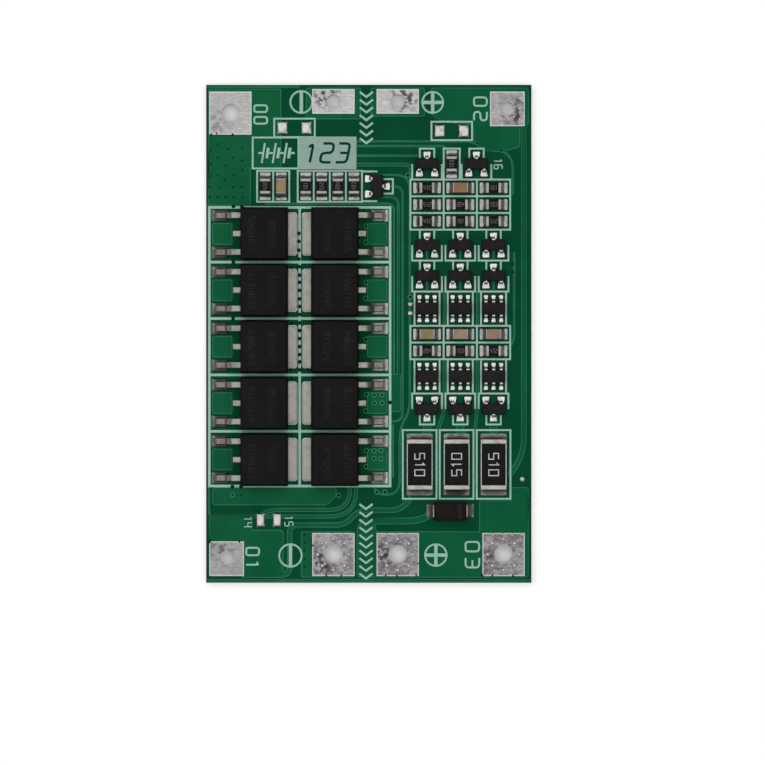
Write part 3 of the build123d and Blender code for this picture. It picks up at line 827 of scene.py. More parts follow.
def circle(x: float, y: float, radius: float, count: int) -> List[Point2]:
    """Points evenly spaced round a middle."""
    angles = [2 * math.pi * i / count for i in range(count)]
    return [(x + radius * math.cos(angle), y + radius * math.sin(angle)) for angle in angles]


def levels(outlines: Sequence[Tuple[float, float, float, float]], steps: int = 4) -> Shape:
    """A body of stacked rounded rectangles.

    Args:
        outlines: height, length, width and corner radius of each level, from the bottom up.
        steps: cells in each corner.

    Returns:
        The shape.
    """
    return loft([[(x, y, z) for x, y in rounded_rectangle(length, width, radius, steps)]
                 for z, length, width, radius in outlines])


def moulded(length: float, width: float, parting: float, cuts: Sequence[Point3], steps: int) -> Shape:
    """A moulded body that narrows by the mould's draft away from its parting line.

    Args:
        length: its length at the parting line.
        width: its width there.
        parting: the parting line's height.
        cuts: height, what is taken off both sizes, and corner radius of each level, from the bottom up.
        steps: cells in each corner.

    Returns:
        The shape.
    """
    outlines = []
    for z, cut, corner in cuts:
        lean = 2 * DRAFT * abs(z - parting)
        outlines.append((z, length - lean - cut, width - lean - cut, corner))
    return levels(outlines, steps)


def is_closed(points: Sequence[Point2]) -> bool:
    """Whether a path ends where it starts."""
    return len(points) > 2 and points[0] == points[-1]


def eased(points: Sequence[Point2], radius: float, steps: int = 4) -> List[Point2]:
    """The points of a path with its corners rounded.

    Args:
        points: the path's corners. A path that ends where it starts is closed.
        radius: how far from a corner its curve starts.
        steps: cells in each curve.

    Returns:
        The rounded path.
    """
    # The most of a stretch that a curve takes, where the other end has a curve too and where it has none.
    shared, alone = 0.49, 0.96
    closed = is_closed(points)
    corners = list(points[:-1]) if closed else list(points)
    n = len(corners)
    path = []
    for i, corner in enumerate(corners):
        if not closed and i in (0, n - 1):
            path.append(corner)
            continue
        here, before, after = Vector(corner), Vector(corners[i - 1]), Vector(corners[(i + 1) % n])
        reach_in = min(radius, (before - here).length * (shared if closed or i > 1 else alone))
        reach_out = min(radius, (after - here).length * (shared if closed or i < n - 2 else alone))
        start = here + (before - here).normalized() * reach_in
        end = here + (after - here).normalized() * reach_out
        for k in range(steps + 1):
            t = k / steps
            path.append(tuple(start * (1 - t) ** 2 + here * 2 * t * (1 - t) + end * t ** 2))
    if closed:
        path.append(path[0])
    return path


def sides(points: Sequence[Point2], half: float) -> Tuple[List[Point2], List[Point2]]:
    """The two lines beside a path, with mitred corners.

    Args:
        points: the path. One that ends where it starts is closed.
        half: how far from it the lines are.

    Returns:
        The line on its left and the line on its right.
    """
    sharpest = 0.4
    closed = is_closed(points)
    corners = [Vector(p) for p in (points[:-1] if closed else points)]
    n = len(corners)
    lefts, rights = [], []
    for i, here in enumerate(corners):
        ways = []
        if closed or i > 0:
            ways.append((here - corners[i - 1]).normalized())
        if closed or i < n - 1:
            ways.append((corners[(i + 1) % n] - here).normalized())
        normals = [Vector((-w.y, w.x)) for w in ways]
        mitre = sum(normals, Vector((0, 0)))
        mitre = mitre.normalized() if mitre.length > 1e-6 else normals[0]
        reach = half / max(sharpest, mitre.dot(normals[0]))
        lefts.append(tuple(here + mitre * reach))
        rights.append(tuple(here - mitre * reach))
    return lefts, rights


def ribbon(points: Sequence[Point2], width: float, low: float, high: float) -> Shape:
    """A flat line of ink through the points, with sloping sides.

    Args:
        points: the line's path. A path that ends where it starts is closed.
        width: its width.
        low: its underside.
        high: its top.

    Returns:
        The shape.
    """
    slope = min(0.03, width * 0.2)
    foot_left, foot_right = sides(points, width / 2)
    top_left, top_right = sides(points, width / 2 - slope)
    rings = [[(*foot_right[i], low), (*foot_left[i], low), (*top_left[i], high), (*top_right[i], high)]
             for i in range(len(foot_left))]
    return loft(rings, is_closed(points))


def swept_strip(path: Sequence[Point2], width: float, thickness: float, edge: float) -> Shape:
    """A strip of metal with worn edges, bent along a path in the XZ plane.

    Args:
        path: the path of its middle, as (x, z).
        width: its width, along Y.
        thickness: its thickness.
        edge: how much its long edges are cut.

    Returns:
        The shape.
    """
    unders, overs = sides(path, thickness / 2 - edge)
    deep_unders, deep_overs = sides(path, thickness / 2)
    half, inner = width / 2, width / 2 - edge
    rings = []
    for u, o, du, do in zip(unders, overs, deep_unders, deep_overs):
        rings.append([(du[0], -inner, du[1]), (du[0], inner, du[1]), (u[0], half, u[1]), (o[0], half, o[1]),
                      (do[0], inner, do[1]), (do[0], -inner, do[1]), (o[0], -half, o[1]),
                      (u[0], -half, u[1])])
    return loft(rings)


def dome(x: float, y: float, radius: float, low: float, high: float, around: int = 16,
         rings: int = 4) -> Shape:
    """A low round cap of solder.

    Args:
        x: its middle along X.
        y: its middle along Y.
        radius: its foot's radius.
        low: its foot's level.
        high: its top's level.
        around: points in each ring.
        rings: rings over the foot.

    Returns:
        The shape. Its top is a very small disc and not a point.
    """
    quarter = math.pi / 2
    loops = []
    for k in range(rings + 1):
        t = k / rings
        size = radius * math.cos(t * quarter * 0.96)
        z = low + (high - low) * math.sin(t * quarter)
        loops.append([(px, py, z) for px, py in circle(x, y, size, around)])
    return loft(loops)


def turned(x: float, y: float, profile: Sequence[Point2], around: int = 24) -> Shape:
    """A ring turned about an upright.

    Args:
        x: the upright's place along X.
        y: its place along Y.
        profile: a closed profile, as (radius, z).
        around: how many times the profile is repeated.

    Returns:
        The shape.
    """
    loops = []
    for i in range(around):
        angle = 2 * math.pi * i / around
        loops.append([(x + r * math.cos(angle), y + r * math.sin(angle), z) for r, z in profile])
    return loft(loops, closed=True)


def patch(low: Point2, high: Point2, base: float, height: Callable[[float, float], float],
          across: int = 12, squareness: float = 7.0, taper: Point2 = (0.0, 0.0)) -> Shape:
    """A pad with soft corners whose top follows a height.

    Args:
        low: its lowest X and Y.
        high: its highest X and Y.
        base: the level that its sides go down to.
        height: gives its top at a place.
        across: cells along each side.
        squareness: how square its corners are.
        taper: how much it narrows towards +X and towards +Y, or less than nought for the other way.

    Returns:
        The shape.
    """
    middle = ((low[0] + high[0]) / 2, (low[1] + high[1]) / 2)
    half = ((high[0] - low[0]) / 2, (high[1] - low[1]) / 2)
    n = across + 1
    points: List[Point3] = []
    for j in range(n):
        for i in range(n):
            u, v = 2 * i / across - 1, 2 * j / across - 1
            longest = max(abs(u), abs(v))
            if longest:
                pull = longest / (abs(u) ** squareness + abs(v) ** squareness) ** (1 / squareness)
                u, v = u * pull, v * pull
            x = middle[0] + half[0] * u * (1 - abs(taper[1]) * (1 + math.copysign(v, v * taper[1])) / 2)
            y = middle[1] + half[1] * v * (1 - abs(taper[0]) * (1 + math.copysign(u, u * taper[0])) / 2)
            points.append((x, y, height(x, y)))
    faces: List[Sequence[int]] = [(j * n + i, j * n + i + 1, (j + 1) * n + i + 1, (j + 1) * n + i)
                                  for j in range(across) for i in range(across)]
    rim = ([i for i in range(n)] + [j * n + n - 1 for j in range(1, n)]
           + [(n - 1) * n + i for i in range(n - 2, -1, -1)] + [j * n for j in range(n - 2, 0, -1)])
    start = len(points)
    points += [(points[i][0], points[i][1], base) for i in rim]
    m = len(rim)
    faces += [(rim[k], start + k, start + (k + 1) % m, rim[(k + 1) % m]) for k in range(m)]
    faces.append([start + k for k in range(m)])
    return points, faces


def in_order(work: bmesh.types.BMesh) -> Tuple[List[Point3], List[Sequence[int]], List[int]]:
    """A mesh's points and faces in an order that is the same in every run.

    Args:
        work: the mesh.

    Returns:
        Its points, its faces, and each face's mark.
    """
    verts = sorted(work.verts, key=lambda vert: tuple(vert.co))
    number = {vert: i for i, vert in enumerate(verts)}
    faces = sorted((tuple(number[vert] for vert in face.verts), face.material_index) for face in work.faces)
    return [tuple(vert.co) for vert in verts], [loop for loop, _ in faces], [mark for _, mark in faces]


# Digits


class Digits:
    """Plain stroke digits on a grid one wide and two high."""

    STROKES: Dict[str, List[List[Point2]]] = {
        "0": [[(0.5, 0), (1, 0), (1, 2), (0, 2), (0, 0), (0.5, 0)]],
        "1": [[(0.2, 1.6), (0.55, 2), (0.55, 0)]],
        "2": [[(0, 2), (1, 2), (1, 1), (0, 1), (0, 0), (1, 0)]],
        "3": [[(0, 2), (1, 2), (1, 0), (0, 0)], [(0.25, 1), (1, 1)]],
        "4": [[(0, 2), (0, 1), (1, 1)], [(1, 2), (1, 0)]],
        "5": [[(1, 2), (0, 2), (0, 1), (1, 1), (1, 0), (0, 0)]],
        "6": [[(1, 2), (0, 2), (0, 0), (1, 0), (1, 1), (0.05, 1)]],
        "7": [[(0, 2), (1, 2), (0.4, 0)]],
        "8": [[(0.5, 0), (1, 0), (1, 2), (0, 2), (0, 0), (0.5, 0)], [(0, 1), (1, 1)]],
        "9": [[(0.95, 1), (0, 1), (0, 2), (1, 2), (1, 0), (0, 0)]],
    }

    @classmethod
    def write(cls, text: str, spot: Spot, size: Point2, pitch: float, line: float, high: float,
              soft: float = 0.0, slant: float = 0.0) -> List[Shape]:
        """Writes digits centred on a spot.

        Args:
            text: the digits.
            spot: where, with z as the underside.
            size: a digit's width and height.
            pitch: from one digit to the next.
            line: the strokes' width.
            high: the strokes' thickness.
            soft: how far corners are rounded, in grid units.
            slant: sideways lean for each unit of height.

        Returns:
            A shape for each stroke.
        """
        shapes = []
        start = -((len(text) - 1) * pitch + size[0]) / 2
        for place, letter in enumerate(text):
            for layer, stroke in enumerate(cls.STROKES[letter]):
                path = eased(stroke, soft) if soft else stroke
                flat = []
                for u, v in path:
                    y = (v / 2 - 0.5) * size[1]
                    flat.append((start + place * pitch + u * size[0] + slant * y, y))
                shapes.append(spot.put(ribbon(flat, line, 0, high + 0.002 * layer)))
        return shapes


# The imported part's solids


def solid_boxes(node: str) -> List[Box]:
    """The box of each solid of a node, in millimetres.

    Args:
        node: the node's name.

    Returns:
        Lowest and highest corners, from the upper edge of the board down, and then from left to right.
    """
    work = bmesh.new()
    work.from_mesh(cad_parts[node].data)
    bmesh.ops.remove_doubles(work, verts=work.verts, dist=1e-7)
    seen = set()
    boxes = []
    for start in work.verts:
        if start.index in seen:
            continue
        seen.add(start.index)
        group, front = [start], [start]
        while front:
            for edge in front.pop().link_edges:
                for vert in edge.verts:
                    if vert.index not in seen:
                        seen.add(vert.index)
                        group.append(vert)
                        front.append(vert)
        boxes.append((Vector([min(v.co[k] for v in group) / MM for k in range(3)]),
                      Vector([max(v.co[k] for v in group) / MM for k in range(3)])))
    work.free()
    return sorted(boxes, key=lambda b: (round(-b[0].y, 2), round(b[0].x, 2)))


def node_box(node: str) -> Box:
    """A node's box in millimetres."""
    low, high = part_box(node)
    return low / MM, high / MM


def middle_of(box: Box) -> Vector:
    """The middle of a box."""
    return (box[0] + box[1]) / 2


def dress_node(node: str, finish: Finish) -> None:
    """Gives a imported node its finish.

    Args:
        node: the node's name.
        finish: the finish.
    """
    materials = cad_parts[node].data.materials
    materials.clear()
    materials.append(finish.material())


# Sub-assemblies


def block(left: float, right: float, low: float, high: float) -> List[Point2]:
    """The corners of a rectangle between four sides."""
    return [(left, low), (right, low), (right, high), (left, high)]


@dataclass
class Laminate:
    """The laminate, the ink, and the copper under the mask with its pale, rounded edges."""

    edge_band: float = 0.1
    edge_drop: float = 0.016
    overlap: float = 0.05
    leg_pour: Point2 = (2.5, 1.34)
    leg_gap: float = 0.54

    # Width, corner radius and path of each track.
    TRACKS = (
        (0.26, 0.8, ((-12.9, 16.2), (3.12, 16.2), (3.12, -5.6))),
        (0.32, 1.0, ((1.1, 17.03), (3.67, 17.03), (3.67, -5.6))),
        (0.28, 1.1, ((1.1, 18.37), (4.2, 18.37), (4.2, -10.9), (2.85, -10.9))),
        (0.26, 1.8, ((1.1, 19.78), (5.1, 19.78), (5.1, -9.7), (3.84, -11.7), (3.84, -20.0), (0.85, -20.05),
                     (0.75, -19.2))),
        (0.2, 0.1, ((3.02, -11.3), (3.02, -17.9))),
        (0.28, 1.0, ((-1.65, 23.96), (13.0, 23.96), (14.6, 22.85), (16.9, 22.75), (17.92, 21.5),
                     (17.92, 17.3))),
        (0.28, 0.5, ((-1.65, 23.38), (9.5, 23.38), (9.8, 22.7))),
        (0.28, 0.5, ((-1.65, 22.17), (7.0, 22.17))),
        (0.45, 0.7, ((-1.65, 21.07), (5.2, 21.07), (5.3, 19.0))),
        (0.66, 2.4, ((19.3, 26.0), (19.3, -15.2), (17.5, -17.6))),
        (0.28, 0.8, ((18.1, 10.1), (18.1, -0.9), (17.3, -1.9))),
        (0.3, 0.1, ((9.42, 5.3), (9.42, 0.9))),
        (0.3, 0.1, ((13.5, 5.3), (13.5, 0.9))),
        (0.4, 1.2, ((9.42, -3.1), (9.42, -9.4), (8.63, -12.0))),
        (0.4, 1.2, ((13.5, -3.1), (13.5, -9.4), (13.23, -12.0))),
        (0.5, 2.6, ((-13.47, -23.2), (-13.47, -21.92), (-2.33, -21.92), (-2.33, -19.1))),
        (0.48, 3.3, ((-19.7, -22.75), (-1.56, -22.75), (-1.56, -19.1))),
        (0.66, 1.1, ((-15.8, -30.05), (-9.86, -30.05), (-9.86, -23.8), (-3.0, -23.8), (-1.2, -21.96),
                     (3.9, -21.96), (5.3, -20.4))),
        (0.83, 1.4, ((-0.6, -23.3), (6.4, -23.3), (8.4, -22.0))),
    )
    # Corner radius and corners of each pour.
    POURS = (
        (0.3, block(2.6, 3.98, -9.75, -5.0)),
        (0.2, block(-7.83, -1.0, 26.7, 30.65)), (0.4, block(0.2, 7.0, 27.05, 30.65)),
        (0.2, block(-20.0, -10.9, 20.58, 30.5)), (0.1, block(-20.0, -14.7, 15.93, 20.9)),
        (0.05, block(-20.1, -8.6, 30.62, 31.0)),
        (0.5, ((7.7, 30.65), (7.7, 27.3), (9.3, 26.3), (13.0, 26.0), (13.0, 24.0), (14.6, 22.85),
               (16.9, 22.75), (18.85, 23.2), (18.85, 25.9), (19.9, 25.9), (19.9, 30.65))),
        (0.5, ((-19.5, -19.1), (-19.5, -21.35), (-5.2, -21.35), (-4.0, -20.2), (-4.0, -19.1))),
        (0.1, block(-20.0, -19.74, -22.6, -19.1)),
        (0.4, block(-19.9, -14.5, -24.9, -22.55)),
        (0.5, block(-19.9, -10.6, -29.85, -24.4)),
        (0.3, block(-8.45, -1.75, -30.35, -24.6)),
        (0.4, ((-1.5, -30.35), (-1.5, -24.2), (-0.8, -22.92), (0.9, -22.92), (0.9, -24.6), (19.9, -24.6),
               (19.9, -30.35))),
        (0.3, block(13.75, 19.9, -24.9, -20.75)), (0.3, block(17.7, 19.9, -21.4, -19.1)),
        (0.05, block(-20.1, 20.1, -30.93, -30.56)),
    )
    # Width, upper ends and length of the short upright tracks that each column of the grid has.
    STUBS = ((0.25, (10.5, 6.65), 1.15), (1.0, (-9.4,), 3.4))
    COLUMNS = (7.25, 11.39, 15.53)

    def dress(self) -> None:
        """Gives the laminate and the legend their finishes, and builds the copper."""
        dress_node("board", Finishes.LAMINATE)
        dress_node("legend_ink", Finishes.INK)
        self.build_copper()

    def outlines(self) -> List[List[Point2]]:
        """The outline of every track and pour."""
        found = []
        for width, radius, points in self.TRACKS:
            lefts, rights = sides(eased(points, radius, 8), width / 2)
            found.append(lefts + rights[::-1])
        for radius, corners in self.POURS:
            found.append(eased(list(corners) + [corners[0]], radius, 5)[:-1])
        for width, tops, length in self.STUBS:
            for x in self.COLUMNS:
                found += [block(x - width / 2, x + width / 2, top - length, top) for top in tops]
        long, half = self.leg_pour
        for number in range(1, 2 * PowerTransistors.rows + 1):
            low, high = node_box(f"leadframe_{number}")
            left = low.x - self.leg_gap if number <= PowerTransistors.rows else high.x + self.leg_gap - long
            middle = (low.y + high.y) / 2
            corners = block(left, left + long, middle - half, middle + half)
            found.append(eased(corners + corners[:1], 0.2, 4)[:-1])
        return found

    def build_copper(self) -> None:
        """Builds all the copper as one sheet with a pale sloping band along each edge."""
        work = self.sheet()
        self.slope_edges(work)
        points, faces, marks = in_order(work)
        work.free()
        mesh = bpy.data.meshes.new("copper_pattern")
        mesh.from_pydata(points, [], faces)
        for finish in (Finishes.COPPER, Finishes.COPPER_EDGE):
            mesh.materials.append(finish.material())
        mesh.polygons.foreach_set("material_index", marks)
        made = present("copper_pattern", mesh, Finishes.COPPER.slot, 30.0)
        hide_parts("copper_tracks")

    def sheet(self) -> bmesh.types.BMesh:
        """The top face of all the copper in one, left out under the terminals' tin.

        Returns:
            The sheet, which faces up.
        """
        shapes = self.outlines()
        count = len(shapes)
        for name in Terminals.TIN:
            low, high = node_box(name)
            shapes.append(block(low.x + self.overlap, high.x - self.overlap,
                                low.y + self.overlap, high.y - self.overlap))
        corners = [Vector(p) for shape in shapes for p in shape]
        loops, start = [], 0
        for shape in shapes:
            loops.append(list(range(start, start + len(shape))))
            start += len(shape)
        places, _, cells, _, _, owners = delaunay_2d_cdt(corners, [], loops, 1, 1e-5)
        work = bmesh.new()
        verts = [work.verts.new((p.x * MM, p.y * MM, COPPER_TOP * MM)) for p in places]
        for cell, owner in zip(cells, owners):
            if owner and max(owner) < count:
                work.faces.new([verts[i] for i in cell])
        bmesh.ops.delete(work, geom=[v for v in work.verts if not v.link_faces], context="VERTS")
        bmesh.ops.recalc_face_normals(work, faces=work.faces)
        if sum(face.normal.z for face in work.faces) < 0:
            bmesh.ops.reverse_faces(work, faces=work.faces)
        return work

    def slope_edges(self, work: bmesh.types.BMesh) -> None:
        """Slopes a band along the sheet's edges, and adds the skirt from there to the laminate.

        Args:
            work: the sheet.
        """
        rim = {v for edge in work.edges if edge.is_boundary for v in edge.verts}
        band = bmesh.ops.inset_region(work, faces=work.faces[:], thickness=self.edge_band * MM,
                                      use_boundary=True, use_even_offset=True)["faces"]
        for face in band:
            face.material_index = 1
        for vert in rim:
            vert.co.z -= self.edge_drop * MM
        skirt = bmesh.ops.extrude_edge_only(work, edges=[e for e in work.edges if e.is_boundary])["geom"]
        for vert in (g for g in skirt if isinstance(g, bmesh.types.BMVert)):
            vert.co.z = LAMINATE_TOP * MM
        for face in (g for g in skirt if isinstance(g, bmesh.types.BMFace)):
            face.material_index = 1


class Sign(Enum):
    """The sign printed beside a wire terminal."""

    MINUS = "minus"
    PLUS = "plus"


@dataclass
class Legend:
    """Printed marks beside the terminals, in the rating box and beside small lands."""

    line: float = 0.22
    bar: float = 0.46
    chevron: Point2 = (0.82, 0.62)
    chevron_pitch: float = 0.96
    symbol: Point2 = (-13.75, 22.5)
    symbol_lean: float = 0.16
    symbol_line: float = 0.28
    cell_pitch: float = 1.36

    # Middle, radius and sign of each ring.
    SIGNS = ((-8.4, 28.85, 1.36, Sign.MINUS), (7.95, 28.8, 1.3, Sign.PLUS),
             (-9.75, -27.6, 1.4, Sign.MINUS), (8.35, -27.55, 1.34, Sign.PLUS))
    # Digits, middle, height and pitch of each cell tap's number.
    TAPS = (("00", -13.45, 27.3, 1.6, 1.35), ("01", -14.45, -27.9, 1.6, 1.5),
            ("02", 13.9, 28.0, 1.6, 1.7), ("03", 12.9, -27.5, 1.7, 1.9))
    # Digits and middle of each small number.
    SMALL = (("14", -15.05, -23.4), ("15", -9.95, -23.3), ("16", 16.1, 21.15))
    # Top and number of each column of chevrons.
    CHEVRONS = ((-0.3, 30.1, 7), (-0.35, -21.2, 10))

    def stroke(self, sketch: Sketch, points: Sequence[Point2], width: float, lift: float = 0.0) -> None:
        """Adds one printed line. A lift keeps lines that cross out of one plane."""
        sketch.add(ribbon(points, width, LAMINATE_TOP, INK_TOP + lift))

    def build(self) -> None:
        """Builds every printed mark."""
        sketch = Sketch()
        for x, y, radius, sign in self.SIGNS:
            ring = circle(x, y, radius, 40)
            self.stroke(sketch, ring + ring[:1], self.line + 0.04)
            self.stroke(sketch, [(x, y - radius), (x, y + radius)], self.bar, 0.002)
            if sign is Sign.PLUS:
                self.stroke(sketch, [(x - radius, y), (x + radius, y)], self.bar, 0.004)
        thick = INK_TOP - LAMINATE_TOP
        for text, x, y, high, wide in self.TAPS:
            sketch.add_all(Digits.write(text, Spot(x, y, LAMINATE_TOP, -90), (wide * 0.62, high), wide + 0.1,
                                        self.line + 0.06, thick, soft=0.45))
        for text, x, y in self.SMALL:
            sketch.add_all(Digits.write(text, Spot(x, y, LAMINATE_TOP, -90), (0.5, 1.0), 0.74, 0.17, thick,
                                        soft=0.3))
        wing, drop = self.chevron
        for x, y, count in self.CHEVRONS:
            for k in range(count):
                level = y - k * self.chevron_pitch
                self.stroke(sketch, [(x - wing, level), (x, level - drop), (x + wing, level)],
                            self.line + 0.07)
        sketch.add_all(self.cells())
        sketch.piece("legend_marks", [Finishes.INK])
        self.build_block()

    def cells(self) -> List[Shape]:
        """Three cells in a row, as a circuit drawing shows them, in the open field of the rating box."""
        x, y = self.symbol
        shapes = [self.leaning([(x, y), (x + 0.5, y)], self.symbol_line)]
        for k in range(3):
            left = x + 0.62 + k * self.cell_pitch
            shapes.append(self.leaning([(left, y - 1.25), (left, y + 1.25)], self.symbol_line))
            shapes.append(self.leaning([(left + 0.52, y - 0.66), (left + 0.52, y + 0.66)], 0.4))
            shapes.append(self.leaning([(left + 0.66, y), (left + 1.2, y)], self.symbol_line))
        return shapes

    def leaning(self, points: Sequence[Point2], width: float) -> Shape:
        """A line of the cells' symbol, sheared like the digits beside it."""
        sheared = [(x + self.symbol_lean * (y - self.symbol[1]), y) for x, y in points]
        return ribbon(sheared, width, LAMINATE_TOP, INK_TOP)

    def build_block(self) -> None:
        """Builds the digits that are left free in the rating box's white field."""
        digits = Digits.write("123", Spot(-5.2, 22.52, INK_TOP - 0.01), (1.35, 2.35), 1.98, 0.36, 0.015,
                              soft=0.4, slant=0.2)
        Sketch(*digits).piece("rating_gaps", [Finishes.GAP])


class Rim(Enum):
    """A via's rim: its radius, how far it rises, and which of the rims' finishes it has."""

    RINGED = (0.34, 0.024, 0)
    PLAIN = (0.27, 0.012, 1)
    INKED = (0.27, 0.004, 2)


@dataclass
class Vias:
    """Small plated holes, filled with mask: a low rim round a dark dimple. One is filled with solder."""

    proud: float = 0.008
    hole: float = 0.19
    depth: float = 0.03
    filled: Point2 = (19.1, -18.1)

    # The dense field at the top left, the row between the power transistors, lone ones, ones with a pale
    # ring, and ones under ink.
    FIELD = ((-18.8, 23.6), (-15.8, 23.15), (-17.5, 23.0), (-19.7, 22.8), (-18.8, 21.9), (-16.9, 21.9),
             (-15.75, 21.6), (-19.7, 21.2), (-17.8, 20.9), (-15.75, 20.4), (-18.8, 19.75), (-16.8, 19.7),
             (-19.7, 19.6), (-17.95, 19.1), (-19.8, 18.3), (-18.6, 18.2), (-16.9, 18.25), (-15.8, 18.3),
             (-19.8, 17.0), (-18.8, 17.0), (-17.8, 17.0), (-16.8, 17.0), (-15.7, 17.0))
    SPINE = ((-8.7, 12.5), (-8.7, 11.5), (-8.7, 10.4), (-8.7, 9.3), (-8.62, 8.35), (-8.62, 7.3), (-8.62, 6.4),
             (-8.62, 5.4), (-8.62, 4.35), (-8.62, 3.4), (-8.62, 2.4), (-8.6, 1.35), (-8.6, 0.4), (-8.6, -0.6),
             (-8.6, -1.6), (-8.6, -2.6), (-8.6, -3.5), (-8.6, -4.5))
    LOOSE = ((-9.6, 8.3), (-9.6, 1.35), (-9.7, -4.5), (-7.6, -4.45), (-9.6, -5.6), (-9.6, -12.6),
             (-15.9, -20.1), (17.9, 8.7), (17.9, 7.7), (-8.0, -25.0), (-8.0, -26.0), (-8.0, -27.0),
             (-8.0, -28.0), (-8.0, -29.0))
    RINGED = ((-0.35, 13.4), (-0.35, 11.4), (-1.35, 13.4), (-1.4, 11.5), (-0.35, 6.4), (-0.4, 4.4),
              (-0.35, -0.7), (-0.35, -1.65), (-0.3, -7.55), (0.7, -7.6), (1.65, -7.6), (0.7, -8.6),
              (1.65, -8.6), (-0.35, -9.6), (-0.3, -14.55), (0.65, -14.55), (1.5, -14.5), (0.65, -15.55),
              (1.5, -15.55), (-0.35, -15.5), (-0.35, -16.55), (-16.95, -20.05), (-3.75, -20.1), (2.0, -19.7),
              (1.0, -19.7), (4.85, 19.75), (5.15, 4.6))
    INKED = ((-16.98, -19.04), (-15.9, -19.04), (2.63, -8.55), (-16.85, 15.85), (-15.8, 15.8), (-16.85, 8.9),
             (-16.9, 1.9))

    def build(self) -> None:
        """Builds the rims and the dimples of all the holes."""
        rims, dimples = Sketch(), Sketch()
        ink = node_box("legend_ink")[1].z + self.proud
        groups = ((self.FIELD, Rim.PLAIN), (self.SPINE, Rim.INKED), (self.LOOSE, Rim.PLAIN),
                  (self.RINGED, Rim.RINGED), (self.INKED, Rim.INKED))
        for places, rim in groups:
            level = ink if rim is Rim.INKED else COPPER_TOP
            low, high = (-0.004, 0.001) if rim is Rim.INKED else (-self.depth, 0.009)
            for x, y in places:
                rims.add(turned(x, y, self.profile(rim, level), 18), rim.value[2])
                dimples.add(dome(x, y, self.hole + 0.01, level + low, level + high, 16, 3))
        drop = dome(*self.filled, 0.34, COPPER_TOP - 0.02, COPPER_TOP + 0.12, 20, 5)
        Sketch(drop).piece("filled_via", [Finishes.BEAD])
        rims.piece("via_rims", [Finishes.VIA_RIM, Finishes.COPPER, Finishes.ON_INK])
        dimples.piece("via_dimples", [Finishes.HOLE])

    def profile(self, rim: Rim, level: float) -> List[Point2]:
        """A rim's profile.

        Args:
            rim: which rim.
            level: what it rises over.

        Returns:
            Its points, as (radius, z).
        """
        wide, rise, _ = rim.value
        foot = COPPER_TOP - self.depth
        return [(self.hole, foot), (wide, foot), (wide - 0.03, level + rise * 0.6),
                ((wide + self.hole) / 2, level + rise), (self.hole, level + rise * 0.4)]


@dataclass
class Terminals:
    """The eight wire terminals: their mottled tin, the raised lip of each hole and beads of solder."""

    radius: float = 0.85
    wide_radius: float = 1.1
    bead: float = 0.25
    ring: float = 0.85
    row_start: Point2 = (1.3, -0.2)
    row_pitch: float = 1.2

    # The smudge's middle, how dark it is, how strong the mottling is, and the tin's brightness.
    TIN = {"cell_tap_0": ((-18.9, 26.0), 0.35, 0.25, 0.9), "cell_tap_1": ((-18.6, -26.7), 0.5, 0.3, 0.7),
           "cell_tap_2": ((18.3, 27.7), 1.0, 0.6, 0.8), "cell_tap_3": ((14.6, -28.2), 0.6, 0.95, 0.6),
           "charge_negative": ((-5.3, 29.8), 0.9, 0.2, 1.0), "charge_positive": ((4.4, 29.3), 0.9, 0.2, 1.0),
           "discharge_negative": ((-5.6, -28.4), 1.0, 0.9, 0.7),
           "discharge_positive": ((2.2, -27.3), 1.0, 0.9, 0.62)}
    WIDE = ("cell_tap_0", "cell_tap_3", "discharge_negative", "discharge_positive")
    BEADED = ("cell_tap_3", "discharge_negative", "discharge_positive")
    # The dark half holes at the pads' edges.
    NOTCHES = ((14.15, -30.05), (15.4, -30.05), (17.95, -30.05), (6.1, -28.6), (5.9, -30.05), (2.1, -30.05),
               (3.5, -30.05), (-5.3, -30.05), (-3.4, -30.05), (-6.95, -26.35), (-19.75, -25.95),
               (-16.1, -25.9), (-19.6, 24.85), (-18.95, 24.95), (-16.95, 24.85))

    def build(self) -> None:
        """Dresses the terminals and builds what stands on them."""
        beads, lips, notches = Sketch(), Sketch(), Sketch()
        for name, (smudge, amount, mottle, shade) in self.TIN.items():
            box = node_box(name)
            middle, half = middle_of(box), (box[1] - box[0]) / 2
            dress_node(name, PadFinish(f"tin_of_{name}", "tinned_pad", (middle.x, middle.y),
                                       (half.x, half.y), smudge, amount, mottle, shade))
            radius = self.wide_radius if name in self.WIDE else self.radius
            lips.add(self.lip(middle, radius))
            if name in self.BEADED:
                beads.add_all(self.beads(box, radius))
        for x, y in self.NOTCHES:
            notches.add(dome(x, y, 0.23, TIN_TOP - 0.06, TIN_TOP + 0.014, 14, 2))
        beads.piece("solder_beads", [Finishes.BEAD])
        lips.piece("hole_lips", [Finishes.LIP])
        notches.piece("edge_vias", [Finishes.HOLE])

    def lip(self, middle: Vector, radius: float) -> Shape:
        """The raised lip of one hole's plating.

        Args:
            middle: the hole's middle.
            radius: its radius.

        Returns:
            The shape.
        """
        profile = [(radius - 0.01, TIN_TOP - 0.2), (radius - 0.01, TIN_TOP - 0.02),
                   (radius + 0.02, TIN_TOP + 0.003), (radius + 0.08, TIN_TOP + 0.004),
                   (radius + 0.12, TIN_TOP - 0.02)]
        return turned(middle.x, middle.y, profile, 48)

    def beads(self, box: Box, radius: float) -> List[Shape]:
        """The beads on one pad: eight round its hole and four along its upper edge.

        Args:
            box: the pad's box.
            radius: its hole's radius.

        Returns:
            The shapes.
        """
        middle = middle_of(box)
        found = [dome(x, y, self.bead, TIN_TOP - 0.01, TIN_TOP + 0.09)
                 for x, y in circle(middle.x, middle.y, radius + self.ring, 8)]
        x, y = box[0].x + self.row_start[0], box[1].y + self.row_start[1]
        found += [dome(x + self.row_pitch * k, y, self.bead * 0.8, TIN_TOP - 0.01, TIN_TOP + 0.07)
                  for k in range(4)]
        return found


